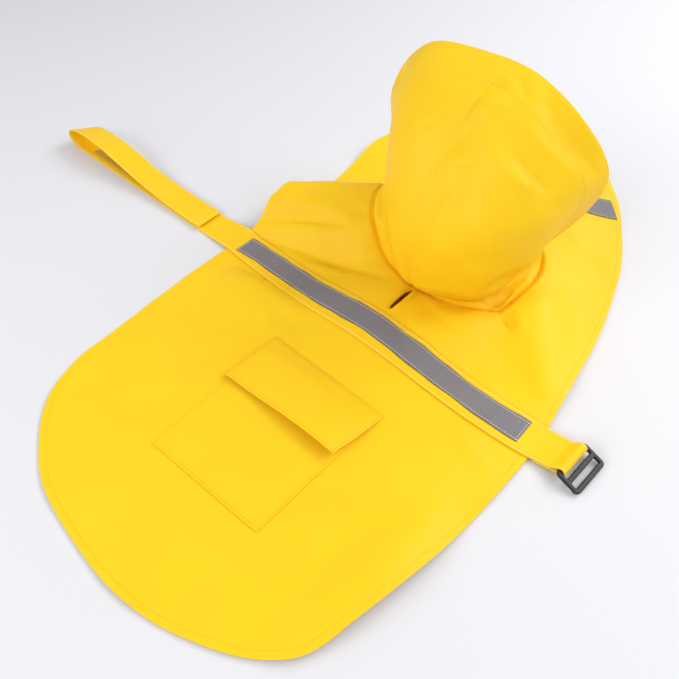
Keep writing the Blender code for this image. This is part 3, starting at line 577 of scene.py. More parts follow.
def hood_grid(side):
    """Points of one half's inner face: rows from the back of the neck to the brim."""
    table = HOOD_RIGHT if side > 0 else HOOD_LEFT
    columns = np.linspace(HOOD_FIRST, HOOD_LAST[side], fine(HOOD_ROWS))
    places = np.interp(columns / HOOD_LAST[side], HOOD_SHARES, np.arange(len(HOOD_SHARES)))
    lanes = [curve_at([(x + side * HOOD_SEAM_GAP / 2, y, z) for x, y, z in HOOD_SEAM], places)]
    lanes.extend(curve_at([row[lane] for row in table], places) for lane in range(len(table[0])))
    shares = np.linspace(0.0, 1.0, fine(HOOD_POINTS))
    rows = []
    for number, foot in enumerate(hood_feet(side * columns)):
        rise = foot + (0.0, 0.0, HOOD_RISE)
        rows.append(np.vstack([even_path([lane[number] for lane in lanes] + [rise], shares), foot]))
    back = hood_feet(np.zeros(1))[0] + (0.0, 0.0, HOOD_RISE)
    pole = np.array([HOOD_SEAM[0][0] + side * HOOD_SEAM_GAP / 2, back[1], back[2]])
    return np.array([pole + (rows[0] - pole) * step / HOOD_FAN for step in range(HOOD_FAN)] + rows)


print("rows of one half:", hood_grid(1).shape[0])

# %% Dents of the hood
# Columns: line, left half-width, right half-width, height
HOOD_CREASES = (
    (((-26, 226, 174), (-2, 246, 199), (22, 264, 218)), 26, 10, 2.6),  # soft fold on the left half
    (((-28, 228, 174), (-4, 245, 198), (20, 262, 216)), 3.0, 3.0, -1.2),
    (((-92, 284, 176), (-93, 292, 190), (-90, 300, 203)), 10, 12, -6.0),    # flattened left cheek
    (((-66, 248, 48), (-80, 262, 56), (-95, 282, 66)), 14, 14, -7.0),       # flare behind the cheek
    (((18, 279, 227), (27, 277, 226), (36, 275, 225)), 2.6, 2.6, -1.5),     # gathers at the seam
    (((20, 284, 230), (30, 282, 229), (39, 280, 228)), 2.6, 2.6, 1.0),
    (((36, 291, 232), (46, 283, 227), (56, 275, 221)), 4, 5, -1.8),
    (((14, 250, 206), (31, 259, 214), (46, 268, 220)), 9, 8, 3.2),  # bright roll near the seam
    (((14, 228, 178), (20, 239, 189), (26, 247, 199)), 7, 8, -3.0),
    (((16, 222, 172), (27, 225, 176), (42, 230, 181)), 6, 5, 2.2),
    (((36, 260, 213), (60, 252, 194), (80, 253, 180), (106, 262, 158)), 24, 11, -4.4),  # dark facet
    (((64, 250, 189), (82, 252, 177), (101, 259, 161)), 9, 3, -2.4),        # its crisp lower end
    (((56, 236, 184), (73, 241, 176), (92, 250, 164)), 7, 6, 2.2),          # bright wedge below it
    (((60, 264, 212), (86, 267, 196), (114, 282, 172)), 5, 6, 1.4),         # inner edge of the hem
    (((62, 206, 96), (62, 216, 140), (70, 232, 168)), 22, 26, 4.8),         # ridge down the middle
    (((26, 205, 112), (34, 211, 140), (43, 220, 165), (54, 235, 186)), 9, 18, -4.0),        # hollow
    (((84, 226, 52), (94, 234, 66), (102, 246, 76), (107, 260, 84)), 8, 30, -9.0),  # above the neck
    (((75, 234, 19), (84, 254, 17), (90, 282, 18)), 7, 7, -18.0),           # deep fold at the neck
    (((30, 201, 104), (48, 203, 100), (66, 209, 96)), 10, 10, 2.2),
    (((44, 204, 88), (64, 212, 64), (84, 236, 40)), 10, 10, -2.0),
    (((88, 230, 140), (104, 250, 138), (112, 268, 146)), 14, 16, 2.4),
    (((62, 289, 223), (77, 285, 213), (98, 290, 196), (122, 305, 164)), 5, 13, -4.2),  # at the brim
    (((60, 298, 230), (92, 298, 212), (121, 311, 178)), 4, 5, 2.2),
    (((-6, 200, 50), (-14, 206, 86), (-24, 214, 120)), 9, 9, -1.4),         # left half, low down
    (((-40, 230, 80), (-50, 236, 106), (-60, 244, 128)), 12, 12, 1.6),
    (((-66, 256, 120), (-78, 272, 146), (-86, 284, 170)), 14, 14, -1.8),
    (((-78, 276, 80), (-84, 290, 106), (-90, 302, 130)), 12, 12, 1.8),
    (((16, 205, 38), (40, 209, 42), (66, 218, 48)), 8, 8, 1.4),
)
print("dents and creases of the hood:", len(HOOD_CREASES))

# %% Hood halves
HOOD_TOPSTITCH = 3.0        # beside the centre seam, on the left half alone
SEAM_DEPTH, SEAM_HALF_WIDTH = 0.8, 1.6      # how the centre seam pulls in
HOOD_CENTRE = np.array([5.0, 290.0, 120.0])
HOOD_HEM = 28.0
HOOD_NOISE, HOOD_NOISE_SCALE = 0.7, 34.0
# Width of the turned hem, wider where the left half is pushed back; columns: share from the seam, mm
LEFT_HEM = ((0.0, 27.0), (0.10, 32.0), (0.22, 36.0), (0.34, 33.0), (0.5, 28.0), (1.0, 28.0))


def along_grid(grid, axis):
    """Distance along the rows or columns of a grid, from its first line."""
    steps = np.linalg.norm(np.diff(grid, axis=axis), axis=-1)
    start = np.zeros_like(np.take(steps, [0], axis=axis))
    return np.concatenate([start, np.cumsum(steps, axis=axis)], axis=axis)


def hem_width(side, count):
    """Width of the hem for each point of a row."""
    if side > 0:
        return np.full(count, HOOD_HEM)
    return np.interp(np.linspace(0.0, 1.0, count), *zip(*LEFT_HEM))


def hood_surface(side):
    """Points of one half's inner face and the unit ways out of it."""
    grid = hood_grid(side)
    normals = np.cross(np.gradient(grid, axis=0), np.gradient(grid, axis=1))
    normals /= np.maximum(np.linalg.norm(normals, axis=-1, keepdims=True), 1e-9)
    return grid, normals * np.sign(((grid - HOOD_CENTRE) * normals).sum())


def make_hood_shell(name, side):
    grid, normals = hood_surface(side)
    from_seam, rows = along_grid(grid, 1), along_grid(grid, 0)
    from_foot = from_seam[:, -1:] - from_seam
    # Dents fade out towards the seam, the neck and the back, where the cloth is held by its sewing.
    push = creases(HOOD_CREASES, grid, normals) * smoothstep(from_seam, 0.0, 5.0)
    push += HOOD_NOISE * soft_noise(grid, HOOD_NOISE_SCALE, 2) * smoothstep(from_seam, 0.0, 8.0)
    push *= smoothstep(from_foot, 0.0, 14.0) * smoothstep(rows, 0.0, 20.0)
    push -= SEAM_DEPTH * np.exp(-(from_seam / SEAM_HALF_WIDTH) ** 2)
    grid = grid + normals * (push + SOLID_WALL - CLOTH_WALL)[..., None]
    grid[..., 2] -= neck_roll(from_foot, grid[..., 0])
    from_hem = (rows[-1] - rows) * HOOD_HEM / hem_width(side, grid.shape[1])
    if side > 0:
        from_seam = from_seam + HOOD_TOPSTITCH + 10.0       # only the left half is topstitched
    mesh = cloth_mesh(name, grid, {"from_hem": from_hem, "from_seam": from_seam})
    if side < 0:
        mesh.flip_normals()
    merge_points(mesh)
    return finished(add_piece(name, mesh, CLOTH_WALL))


hood_right = make_hood_shell("hood_right_shell", 1)
hood_left = make_hood_shell("hood_left_shell", -1)
print("hood halves:", count_of(hood_right, hood_left))

# %% [markdown]
# ## Belly strap
#
# A strap of two layers lies over the back.  On the right it is sewn round the buckle's inner bar; on
# the left its free end is folded back over itself.  The rows across it follow the body shell, then
# the table, then the fold.

# %% Course of the strap
# Its two edges and the tape's centre line, as y at each x; columns: x, low, high, tape
BELT = (
    (-560, 134.5, 171.0, 151.0), (-203, 133.5, 171.0, 150.5), (-155, 129.5, 170.0, 151.8),
    (-110, 125.5, 168.5, 150.3), (-70, 125.0, 166.5, 147.8), (0, 126.0, 166.5, 148.8),
    (60, 126.0, 166.5, 148.4), (120, 125.5, 166.0, 147.6), (155, 125.5, 165.5, 146.8),
    (185, 127.0, 166.0, 147.6), (207, 129.5, 167.0, 148.0), (228, 130.9, 166.8, 148.8),
    (240, 131.0, 166.7, 148.8),
)
LOW, HIGH, TAPE = 1, 2, 3
STRAP_WALL = 1.8
STRAP_EDGE_X = 202.0        # where it leaves the panel
STRAP_LANES = 13
STRAP_SEWN_END, STRAP_SEWN_ROWS = 207.0, 9
STRAP_RISE_POWER = 1.4
STRAP_LAYER_GAP = 0.4       # between the inner faces of both layers there
STRAP_MEET = (223.5, 6.0)   # where both layers meet before the buckle's bar, x and z
STRAP_BAR_RADIUS, STRAP_BAR_ROWS = 3.0, 22      # of the fold round the bar
STRAP_DROP, STRAP_DROP_STEP = 50.0, 3.0         # over which it comes down to the table on the left
STRAP_FLAT_FROM, STRAP_FLAT_TO = -255.0, -498.0         # where it lies flat on the table
BACK_ROWS, FLAT_ROWS, LOOP_ROWS = 136, 80, 130
LAY_GAP = 0.25              # between a piece and the cloth that it lies on
# Free end on the left: inner face, from the table round the fold and back to the sewn-down tip;
# columns: x and z on the near edge, x and z on the far edge
LOOP = (
    (-505, 0.0, -500, 0.0), (-521, 0.6, -511, 0.5), (-531, 4.5, -520, 3.6), (-535, 12, -525, 9),
    (-530, 22, -521, 15), (-512, 29.5, -507, 19.5), (-485, 32, -482, 21.5), (-455, 30, -452, 20.5),
    (-425, 24, -424, 16.5), (-395, 17.5, -396, 10.5), (-365, 12, -368, 6.4), (-330, 8, -333, 4.6),
    (-295, 5.8, -298, 4.3), (-270, 5.6, -272, 4.5), (-254, 6.6, -257, 5.2),
)
BAR_X, BAR_Z = 232.2, 9.4   # middle of the buckle's inner bar
BAR_SLANT = math.tan(math.radians(3.4))


def belt_at(x, column):
    """One column of the strap's table at places x, along a smooth curve."""
    places = np.interp(x, [row[0] for row in BELT], range(len(BELT)))
    return curve_at([(row[column],) for row in BELT], places)[:, 0]


def across_strap(x):
    return np.linspace(belt_at([x], LOW)[0], belt_at([x], HIGH)[0], STRAP_LANES)


def strap_row(x, z, slant=0.0):
    """A row across the strap; slant is how far it leans along x for each step in y."""
    y = across_strap(x)
    return np.column_stack([x + slant * (y - y.mean()), y, np.broadcast_to(z, y.shape)])


def buckle_end_rows(edge_z):
    """From the sewn end under the strap, round the buckle's inner bar, back to the panel's edge."""
    meet_x, meet_z = STRAP_MEET
    towards = math.atan2(BAR_Z - meet_z, BAR_X - meet_x)
    turn = math.pi / 2 + math.asin(STRAP_BAR_RADIUS / math.hypot(BAR_X - meet_x, BAR_Z - meet_z))
    upper = []
    for x in np.linspace(STRAP_SEWN_END, meet_x, STRAP_SEWN_ROWS):
        share = ((x - STRAP_EDGE_X) / (meet_x - STRAP_EDGE_X)) ** STRAP_RISE_POWER
        upper.append((x, edge_z + (meet_z - edge_z) * share, BAR_SLANT * share))
    least = STRAP_WALL + FLOOR_GAP
    rows = [strap_row(x, max(z - STRAP_LAYER_GAP, least), slant) for x, z, slant in upper]
    for angle in np.linspace(towards - turn, towards + turn, STRAP_BAR_ROWS):
        rows.append(strap_row(BAR_X + STRAP_BAR_RADIUS * math.cos(angle),
                              BAR_Z + STRAP_BAR_RADIUS * math.sin(angle), BAR_SLANT))
    return rows + [strap_row(*row) for row in reversed(upper)]


print("the strap is", round(float(np.ptp(across_strap(0.0))), 1), "mm wide on the back")

# %% Belly strap
def ease_rows(heights, passes):
    """Even out heights along a strap or tape: it is stiffer than the cloth below."""
    for _ in range(passes):
        middle = (heights[:-2] + 2 * heights[1:-1] + heights[2:]) / 4
        heights[1:-1] = np.maximum(heights[1:-1], middle)
    return heights


def edge_marks(grid, free=None):
    """Distances from the sides and ends; a patch is sewn all round, and free is its free end."""
    across, along = along_grid(grid, 1), along_grid(grid, 0)
    sides = np.minimum(across, across[:, -1:] - across)
    ends = (along, along[-1:] - along)
    if free is None:
        return {"from_hem": sides, "from_seam": np.minimum(*ends)}
    return {"from_hem": np.minimum(sides, np.minimum(*ends)), "from_seam": ends[free]}


def laid_piece(name, grid, wall, round_edge=0.0, free=None):
    """A piece that lies on others, from its grid."""
    return finished(add_piece(name, cloth_mesh(name, grid, edge_marks(grid, free)), wall, round_edge))


def make_strap_shell():
    places = np.linspace(STRAP_EDGE_X, -STRAP_EDGE_X, BACK_ROWS)
    plan = np.array([np.column_stack([np.full(STRAP_LANES, x), across_strap(x)]) for x in places])
    heights = top_of([tree_of(body_shell)], plan) + LAY_GAP
    heights[0] = np.maximum(heights[0], heights[1:4].max(axis=0))
    heights[-1] = np.maximum(heights[-1], heights[-4:-1].max(axis=0))
    laid = np.dstack([plan, ease_rows(heights, passes=6)])
    rows = buckle_end_rows(laid[0][:, 2].mean()) + list(laid)
    for drop in np.arange(STRAP_DROP_STEP, STRAP_DROP, STRAP_DROP_STEP):
        left = 1.0 - smoothstep(drop, 0.0, STRAP_DROP)
        rows.append(strap_row(-STRAP_EDGE_X - drop, laid[-1][:, 2] * left))
    rows.extend(strap_row(x, 0.0) for x in np.linspace(STRAP_FLAT_FROM, STRAP_FLAT_TO, FLAT_ROWS))
    lanes = np.linspace(0.0, 1.0, STRAP_LANES)
    for near_x, near_z, far_x, far_z in even_path(LOOP, np.linspace(0.0, 1.0, LOOP_ROWS)):
        rows.append(np.column_stack([near_x + (far_x - near_x) * lanes, across_strap(near_x),
                                     near_z + (far_z - near_z) * lanes]))
    return laid_piece("strap_shell", np.array(rows), STRAP_WALL, round_edge=0.5)


strap_shell = make_strap_shell()
print("strap shell:", count_of(strap_shell))

# %% [markdown]
# ## Reflective tapes
#
# The tape is a woven backing with a coat of tiny glass beads.  It is thin and a little stiff, its
# edges wander slightly where it was sewn on, and it buckles into small cross ridges on the bend.

# %% Reflective tapes
TAPE_WIDTH, TAPE_WALL, TAPE_GAP = 26.0, 0.5, 0.15
TAPE_LANES, BELT_TAPE_ROWS, CHEST_TAPE_ROWS = 9, 190, 141
BELT_TAPE_FROM, BELT_TAPE_TO = 187.0, -191.0
CHEST_TURN = math.radians(20.0)         # of the chest about the neck
CHEST_TAPE_ALONG = 130.0    # from the neck's centre
CHEST_TAPE_RIGHT, CHEST_TAPE_LEFT = 167.0, -112.0
CHEST_TAPE_TAPER = 0.50                 # how far its right end leans in, for each mm of its width
# Its right end bends towards the head, over this reach
CHEST_TAPE_SWING, CHEST_TAPE_SWING_REACH = 5.0, 24.0
# Small ridges across the belt's tape; columns: x, slant in mm over the width, half-width, height
TAPE_RIDGES = (
    (158, 3, 2.2, 0.5), (121, -3, 1.8, 0.4), (92, 4, 2.4, 0.5), (64, -2, 1.6, 0.35),
    (31, 4, 2.0, 0.5), (8, 3, 2.6, 0.4), (-22, -4, 1.8, 0.5), (-48, 5, 2.4, 0.6),
    (-77, 2, 1.8, 0.4), (-103, -4, 2.4, 0.5), (-139, 4, 2.0, 0.45), (-168, -3, 2.0, 0.4),
)


def make_tape(name, plan, below, ridges=()):
    """A tape laid along the rows of a plan."""
    heights = ease_rows(top_of([tree_of(below)], plan) + TAPE_GAP, passes=2)
    lanes = np.linspace(-0.5, 0.5, TAPE_LANES)
    for x, slant, half_width, height in ridges:
        heights += height * np.exp(-((plan[..., 0] - x - slant * lanes) / half_width) ** 2)
    return laid_piece(name, np.dstack([plan, heights]), TAPE_WALL)


def belt_tape_plan():
    """Both edges wander a little about the tape's line, in a long and a short wave."""
    x = np.linspace(BELT_TAPE_FROM, BELT_TAPE_TO, BELT_TAPE_ROWS)
    low, high = [belt_at(x, TAPE) + side * TAPE_WIDTH / 2 + 0.45 * np.sin(x / 15.0 + phase)
                 + 0.3 * np.sin(x / 6.3 + 2.3 * phase) for side, phase in ((-1, 0.7), (1, 2.1))]
    y = low[:, None] + (high - low)[:, None] * np.linspace(0.0, 1.0, TAPE_LANES)
    return np.dstack([np.broadcast_to(x[:, None], y.shape), y])


def chest_tape_point(across, step):
    """Point of the chest's tape, a step from its nearer edge; the chest is turned about the neck."""
    swing = math.exp((across - CHEST_TAPE_RIGHT) / CHEST_TAPE_SWING_REACH)
    along = CHEST_TAPE_ALONG + CHEST_TAPE_SWING * swing + step
    across = across * (1.0 - CHEST_TAPE_TAPER * step / CHEST_TAPE_RIGHT)
    turn_x, turn_y = math.cos(CHEST_TURN), math.sin(CHEST_TURN)
    return NECK_CENTRE + (across * turn_x - along * turn_y, across * turn_y + along * turn_x)


chest_places = np.linspace(CHEST_TAPE_RIGHT, CHEST_TAPE_LEFT, CHEST_TAPE_ROWS)
chest_lanes = np.linspace(0.0, TAPE_WIDTH, TAPE_LANES)
chest_plan = np.array([[chest_tape_point(across, step) for step in chest_lanes]
                       for across in chest_places])
belt_tape = make_tape("belt_tape_strip", belt_tape_plan(), strap_shell, TAPE_RIDGES)
chest_tape = make_tape("chest_tape_strip", chest_plan, body_shell)
print("tapes:", count_of(belt_tape, chest_tape))

# %% [markdown]
# ## Pocket and flap
#
# The pocket is a patch sewn down on three sides.  The flap is sewn along its top edge and stands off
# below, more on the right than on the left, so that it throws the soft shadow that gives it away.

# %% Pocket and flap
# Corners as x and y, anticlockwise from the bottom left
POCKET_CORNERS = ((-53, -84), (78, -78), (79, 62), (-58, 60))
POCKET_CELLS, FLAP_CELLS = 64, (84, 46)
POCKET_WALL, POCKET_EDGE = 1.0, 0.35            # wall and rounding of its edge
POCKET_STITCH = 2.2         # from the edges of pocket and flap
# How it swells towards its mouth, between two shares of its height
POCKET_FILL, POCKET_FILL_FROM, POCKET_FILL_TO, POCKET_FILL_POWER = 1.7, 0.02, 0.85, 2.5
FLAP_CORNERS = ((-60.5, 8.5), (78, 12.5), (82.5, 76), (-61.5, 76))
# How far its lower edge stands off; columns: share from the left, height
FLAP_LIFT = ((0.0, 4.5), (0.25, 3.2), (0.6, 8.0), (0.85, 9.5), (1.0, 8.5))
FLAP_LIFT_POWER = 1.25
FLAP_BRIDGING = 40          # passes that let the flap span the pocket's mouth
FLAP_SMOOTHING = 12         # passes that soften it
# Columns: line, left half-width, right half-width, height
POCKET_CREASES = (
    (((-40, -10), (-10, -14), (20, -24)), 10, 12, 0.9),
    (((0, -50), (30, -52), (60, -44)), 12, 12, 0.8),
    (((-46, -60), (-34, -70), (-20, -76)), 8, 8, 0.6),
    (((40, 4), (58, -6), (70, -20)), 9, 10, 0.8),
)
FLAP_CREASES = (
    (((-60, 10), (10, 11), (78, 13)), 3, 2, 0.9),           # rolled hem along its lower edge
    (((-50, 22), (-20, 28), (10, 30)), 9, 9, 0.4),
    (((30, 22), (52, 24), (74, 30)), 9, 9, 0.5),
    (((-20, 60), (10, 60), (40, 56)), 10, 10, 0.4),
)


def patch_plan(corners, columns, rows):
    """Grid of (x, y) points between four corners."""
    bottom_left, bottom_right, top_right, top_left = np.array(corners, float)
    t = np.linspace(0.0, 1.0, rows + 1)[:, None, None]
    s = np.linspace(0.0, 1.0, columns + 1)[None, :, None]
    left = bottom_left + (top_left - bottom_left) * t
    return left + (bottom_right + (top_right - bottom_right) * t - left) * s


def make_pocket_patch():
    cells = fine(POCKET_CELLS)
    plan = patch_plan(POCKET_CORNERS, cells, cells)
    up = smoothstep(np.linspace(0.0, 1.0, cells + 1), POCKET_FILL_FROM, POCKET_FILL_TO)
    swell = 1.0 - np.abs(np.linspace(-1.0, 1.0, cells + 1)) ** POCKET_FILL_POWER
    fill = POCKET_FILL * np.outer(up, swell)
    heights = top_of([tree_of(body_shell)], plan) + LAY_GAP + fill
    heights += creases(POCKET_CREASES, plan) * (fill > 0.3)
    return laid_piece("pocket_patch", np.dstack([plan, heights]), POCKET_WALL, POCKET_EDGE, free=-1)


def make_flap():
    columns, rows = fine(FLAP_CELLS[0]), fine(FLAP_CELLS[1])
    plan = patch_plan(FLAP_CORNERS, columns, rows)
    shares, lifts = zip(*FLAP_LIFT)
    places = np.interp(np.linspace(0.0, 1.0, columns + 1), shares, range(len(shares)))
    down = (1.0 - np.linspace(0.0, 1.0, rows + 1)) ** FLAP_LIFT_POWER
    heights = top_of([tree_of(body_shell), tree_of(pocket_patch)], plan) + LAY_GAP
    for _ in range(FLAP_BRIDGING):
        heights[:, 1:-1] = np.maximum(heights[:, 1:-1], (heights[:, :-2] + heights[:, 2:]) / 2)
        heights[1:-1] = np.maximum(heights[1:-1], (heights[:-2] + heights[2:]) / 2)
    for _ in range(FLAP_SMOOTHING):
        heights[1:-1] = (heights[:-2] + 2.0 * heights[1:-1] + heights[2:]) / 4
    lifted = np.outer(down, curve_at([(lift,) for lift in lifts], places)[:, 0])
    heights += lifted + creases(FLAP_CREASES, plan)
    return laid_piece("flap_patch", np.dstack([plan, heights]), POCKET_WALL, POCKET_EDGE, free=0)


pocket_patch = make_pocket_patch()
flap_patch = make_flap()
print("pocket and flap:", count_of(pocket_patch, flap_patch))

# %% [markdown]
# ## Buckle
#
# The buckle is moulded, so its edges are rounded all over.  A copy of the solid is remeshed finely
# and smoothed, which rounds them evenly, after a slight swelling that makes up for what is lost.

# %% Buckle
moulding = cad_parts["buckle"].data.copy()
merge_points(moulding)
buckle = add_piece("buckle_moulding", moulding)
modify(buckle, "REMESH", mode="VOXEL", voxel_size=0.32 * MM / FINE)
modify(buckle, "DISPLACE", mid_level=0.0, strength=0.35 * MM)
modify(buckle, "SMOOTH", factor=0.5, iterations=5)
finished(buckle).data.shade_smooth()
print("buckle:", count_of(buckle))

# %% [markdown]
# ## Finishes
#
# Colours are written as they look on a screen and turned to linear light by one function.  One small
# function adds a node with its settings and links: a node given as an input is linked by its first
# output in use.

# %% Finishes
def linear(code):
    """Linear colour of an sRGB hex code."""
    parts = [int(code[i:i + 2], 16) / 255 for i in (1, 3, 5)]
    return tuple(p / 12.92 if p <= 0.04045 else ((p + 0.055) / 1.055) ** 2.4 for p in parts) + (1.0,)


def add_node(tree, kind, inputs=None, **settings):
    """Add a node; inputs are values, nodes or sockets to link, settings are its own options."""
    node = tree.nodes.new(kind)
    for name, value in settings.items():
        setattr(node, name, value)
    for name, value in (inputs or {}).items():
        if isinstance(value, bpy.types.Node):
            value = next(socket for socket in value.outputs if socket.enabled)
        if isinstance(value, bpy.types.NodeSocket):
            tree.links.new(value, node.inputs[name])
        else:
            node.inputs[name].default_value = value
    return node


def new_material(name, finish, pattern=None):
    """A material with constant values on its shader, and linked ones from its pattern of nodes."""
    material = bpy.data.materials.new(name)
    material.use_nodes = True
    tree = material.node_tree
    shader = tree.nodes["Principled BSDF"]
    for socket, value in finish.items():
        shader.inputs[socket].default_value = value
    if pattern:
        place = add_node(tree, "ShaderNodeTexCoord").outputs["Object"]
        for socket, node in pattern(tree, place).items():
            tree.links.new(next(out for out in node.outputs if out.enabled), shader.inputs[socket])
    return material


def band(tree, mark, centre, half_width):
    """1 where a stored distance is near the centre, falling to 0 at the half-width."""
    distance = add_node(tree, "ShaderNodeAttribute", attribute_name=mark).outputs["Fac"]
    shifted = add_node(tree, "ShaderNodeMath", {0: distance, 1: centre}, operation="SUBTRACT")
    away = add_node(tree, "ShaderNodeMath", {0: shifted}, operation="ABSOLUTE")
    return add_node(tree, "ShaderNodeMapRange", {
        "Value": away, "From Min": 0.0, "From Max": half_width, "To Min": 1.0, "To Max": 0.0},
        interpolation_type="SMOOTHSTEP")


print("yellow in linear light:", [round(c, 3) for c in linear("#F6CA1C")[:3]])

# %% Coated polyester
# PU-coated polyester: a plain weave under a film, so it is satin, with soft wide highlights and a
# weave that barely shows.  The threads are 0.4 mm apart on the real cloth; they are drawn at 0.9 mm.
YELLOW, GOLD = "#F6CA1C", "#F0BA0A"
THREAD_SPACING = 0.0009     # m
HEM_GROOVE = 0.9            # mm, half-width of a stitched groove


def coated_polyester(name, hem_at, seam_at, line, pressed):
    """Yellow cloth with sewn grooves at distances in mm from its edges; line is the colour painted
    along them, painted shade where it is darker and a painted highlight where it is paler, and
    pressed is how strong both colour and groove are.
    """
    def pattern(tree, place):
        broad = add_node(tree, "ShaderNodeTexNoise", {"Vector": place, "Scale": 14.0, "Detail": 3.0})
        tone = add_node(tree, "ShaderNodeMapRange", {
            "Value": broad, "From Min": 0.35, "From Max": 0.7, "To Min": 0.0, "To Max": 0.26})
        colour = add_node(tree, "ShaderNodeMix", {
            "Factor": tone, "A": linear(YELLOW), "B": linear(GOLD)}, data_type="RGBA")
        hem = band(tree, "from_hem", hem_at, HEM_GROOVE)
        seam = band(tree, "from_seam", seam_at, HEM_GROOVE)
        groove = add_node(tree, "ShaderNodeMath", {0: hem, 1: seam}, operation="MAXIMUM")
        share = add_node(tree, "ShaderNodeMath", {0: groove, 1: pressed}, operation="MULTIPLY")
        # Painted light along the sewn lines: the line colour is mixed in over each groove, as painted
        # shade where it is darker and as a painted highlight where it is paler.
        shade = add_node(tree, "ShaderNodeMix", {
            "Factor": share, "A": colour, "B": linear(line)}, data_type="RGBA")
        threads = {"Vector": place, "Scale": 1.0 / THREAD_SPACING / (2 * math.pi), "Distortion": 0.6}
        warp, weft = [add_node(tree, "ShaderNodeTexWave", threads, bands_direction=way)
                      for way in "XY"]
        height = add_node(tree, "ShaderNodeMath", {
            0: warp.outputs["Fac"], 1: weft.outputs["Fac"]}, operation="MULTIPLY")
        weave = add_node(tree, "ShaderNodeBump", {
            "Height": height, "Strength": 0.10, "Distance": 0.0001})
        rough = add_node(tree, "ShaderNodeTexNoise", {"Vector": place, "Scale": 45.0, "Detail": 4.0})
        crumple = add_node(tree, "ShaderNodeBump", {
            "Height": rough, "Strength": 0.35, "Distance": 0.0018, "Normal": weave})
        depth = add_node(tree, "ShaderNodeMath", {0: 1.0, 1: share}, operation="SUBTRACT")
        sewn = add_node(tree, "ShaderNodeBump", {
            "Height": depth, "Strength": 0.5, "Distance": 0.001, "Normal": crumple})
        return {"Base Color": shade, "Normal": sewn}

    return new_material(name, {"Roughness": 0.50, "Specular IOR Level": 0.18}, pattern)


# The uncoated back of the same cloth, matt; its deep amber is painted shade, for the dark inside the
# slit.
painted_shade_back = new_material("uncoated_polyester_back_painted_shade", {
    "Base Color": linear("#C4621A"), "Roughness": 0.8})
# Line colours: painted shade in the grooves of the panel and pocket, and a painted highlight along
# the hood's hem and topstitch and along the strap's edges and ends.
panel_cloth = coated_polyester("pu_coated_polyester_panel", PANEL_HEM, NECK_STITCH, "#D9A808", 0.12)
hood_cloth = coated_polyester("pu_coated_polyester_hood", HOOD_HEM, HOOD_TOPSTITCH, "#FFDC48", 0.45)
strap_cloth = coated_polyester("pu_coated_polyester_strap", 1.5, 4.0, "#FFE676", 0.7)
pocket_cloth = coated_polyester("pu_coated_polyester_pocket", POCKET_STITCH, POCKET_STITCH,
                                "#C9A30A", 0.25)
print("cloth at linear yellow", [round(c, 3) for c in linear(YELLOW)[:3]])

# %% Reflective fabric
# Retro-reflective fabric: glass beads on a grey ground, which look matt and warm grey in soft light.
def glass_beads(tree, place):
    beads = add_node(tree, "ShaderNodeTexNoise", {"Vector": place, "Scale": 900.0, "Detail": 2.0})
    cloudy = add_node(tree, "ShaderNodeTexNoise", {"Vector": place, "Scale": 40.0, "Detail": 3.0})
    speckle = add_node(tree, "ShaderNodeMath", {0: beads, 1: 0.4}, operation="MULTIPLY")
    blend = add_node(tree, "ShaderNodeMath", {
        0: cloudy, 1: 0.6, 2: speckle}, operation="MULTIPLY_ADD")
    grey = add_node(tree, "ShaderNodeMix", {
        "Factor": blend, "A": linear("#6C6A6F"), "B": linear("#817E84")}, data_type="RGBA")
    # Painted shadow: within 1 mm of its edges the tape turns towards a dark brown, for the shadow
    # along them.
    edge = add_node(tree, "ShaderNodeMath", {
        0: band(tree, "from_hem", 0.0, 1.0), 1: 0.75}, operation="MULTIPLY")
    dark = add_node(tree, "ShaderNodeMix", {
        "Factor": edge, "A": grey, "B": linear("#4A3C2E")}, data_type="RGBA")
    bump = add_node(tree, "ShaderNodeBump", {"Height": beads, "Strength": 0.25, "Distance": 0.0002})
    return {"Base Color": dark, "Normal": bump}


tape_fabric = new_material("retro_reflective_fabric", {"Roughness": 0.62}, glass_beads)
print("tape:", tape_fabric.name)

# %% Acetal, thread and hook tape
# Acetal (POM): a hard, slightly waxy black plastic with the fine grain of an etched mould.
def etched_grain(tree, place):
    grain = add_node(tree, "ShaderNodeTexNoise", {"Vector": place, "Scale": 1600.0, "Detail": 2.0})
    return {"Normal": add_node(tree, "ShaderNodeBump", {
        "Height": grain, "Strength": 0.15, "Distance": 0.0001})}


# Nylon hook tape: its woven base and hooks look rough and a duller, khaki yellow.
def hook_grain(tree, place):
    cells = add_node(tree, "ShaderNodeTexVoronoi", {"Vector": place, "Scale": 700.0})
    return {"Normal": add_node(tree, "ShaderNodeBump", {
        "Height": cells, "Strength": 0.6, "Distance": 0.0003})}


# Polyester sewing thread, twisted, a little glossier than the cloth it sews.
def sewing_thread(name, code):
    def twisted(tree, place):
        twist = add_node(tree, "ShaderNodeTexNoise", {
            "Vector": place, "Scale": 1800.0, "Detail": 1.0})
        share = add_node(tree, "ShaderNodeMath", {0: twist, 1: 0.25}, operation="MULTIPLY")
        return {"Base Color": add_node(tree, "ShaderNodeMix", {
            "Factor": share, "A": linear(code), "B": linear("#C9A21E")}, data_type="RGBA")}

    return new_material(name, {"Roughness": 0.5}, twisted)


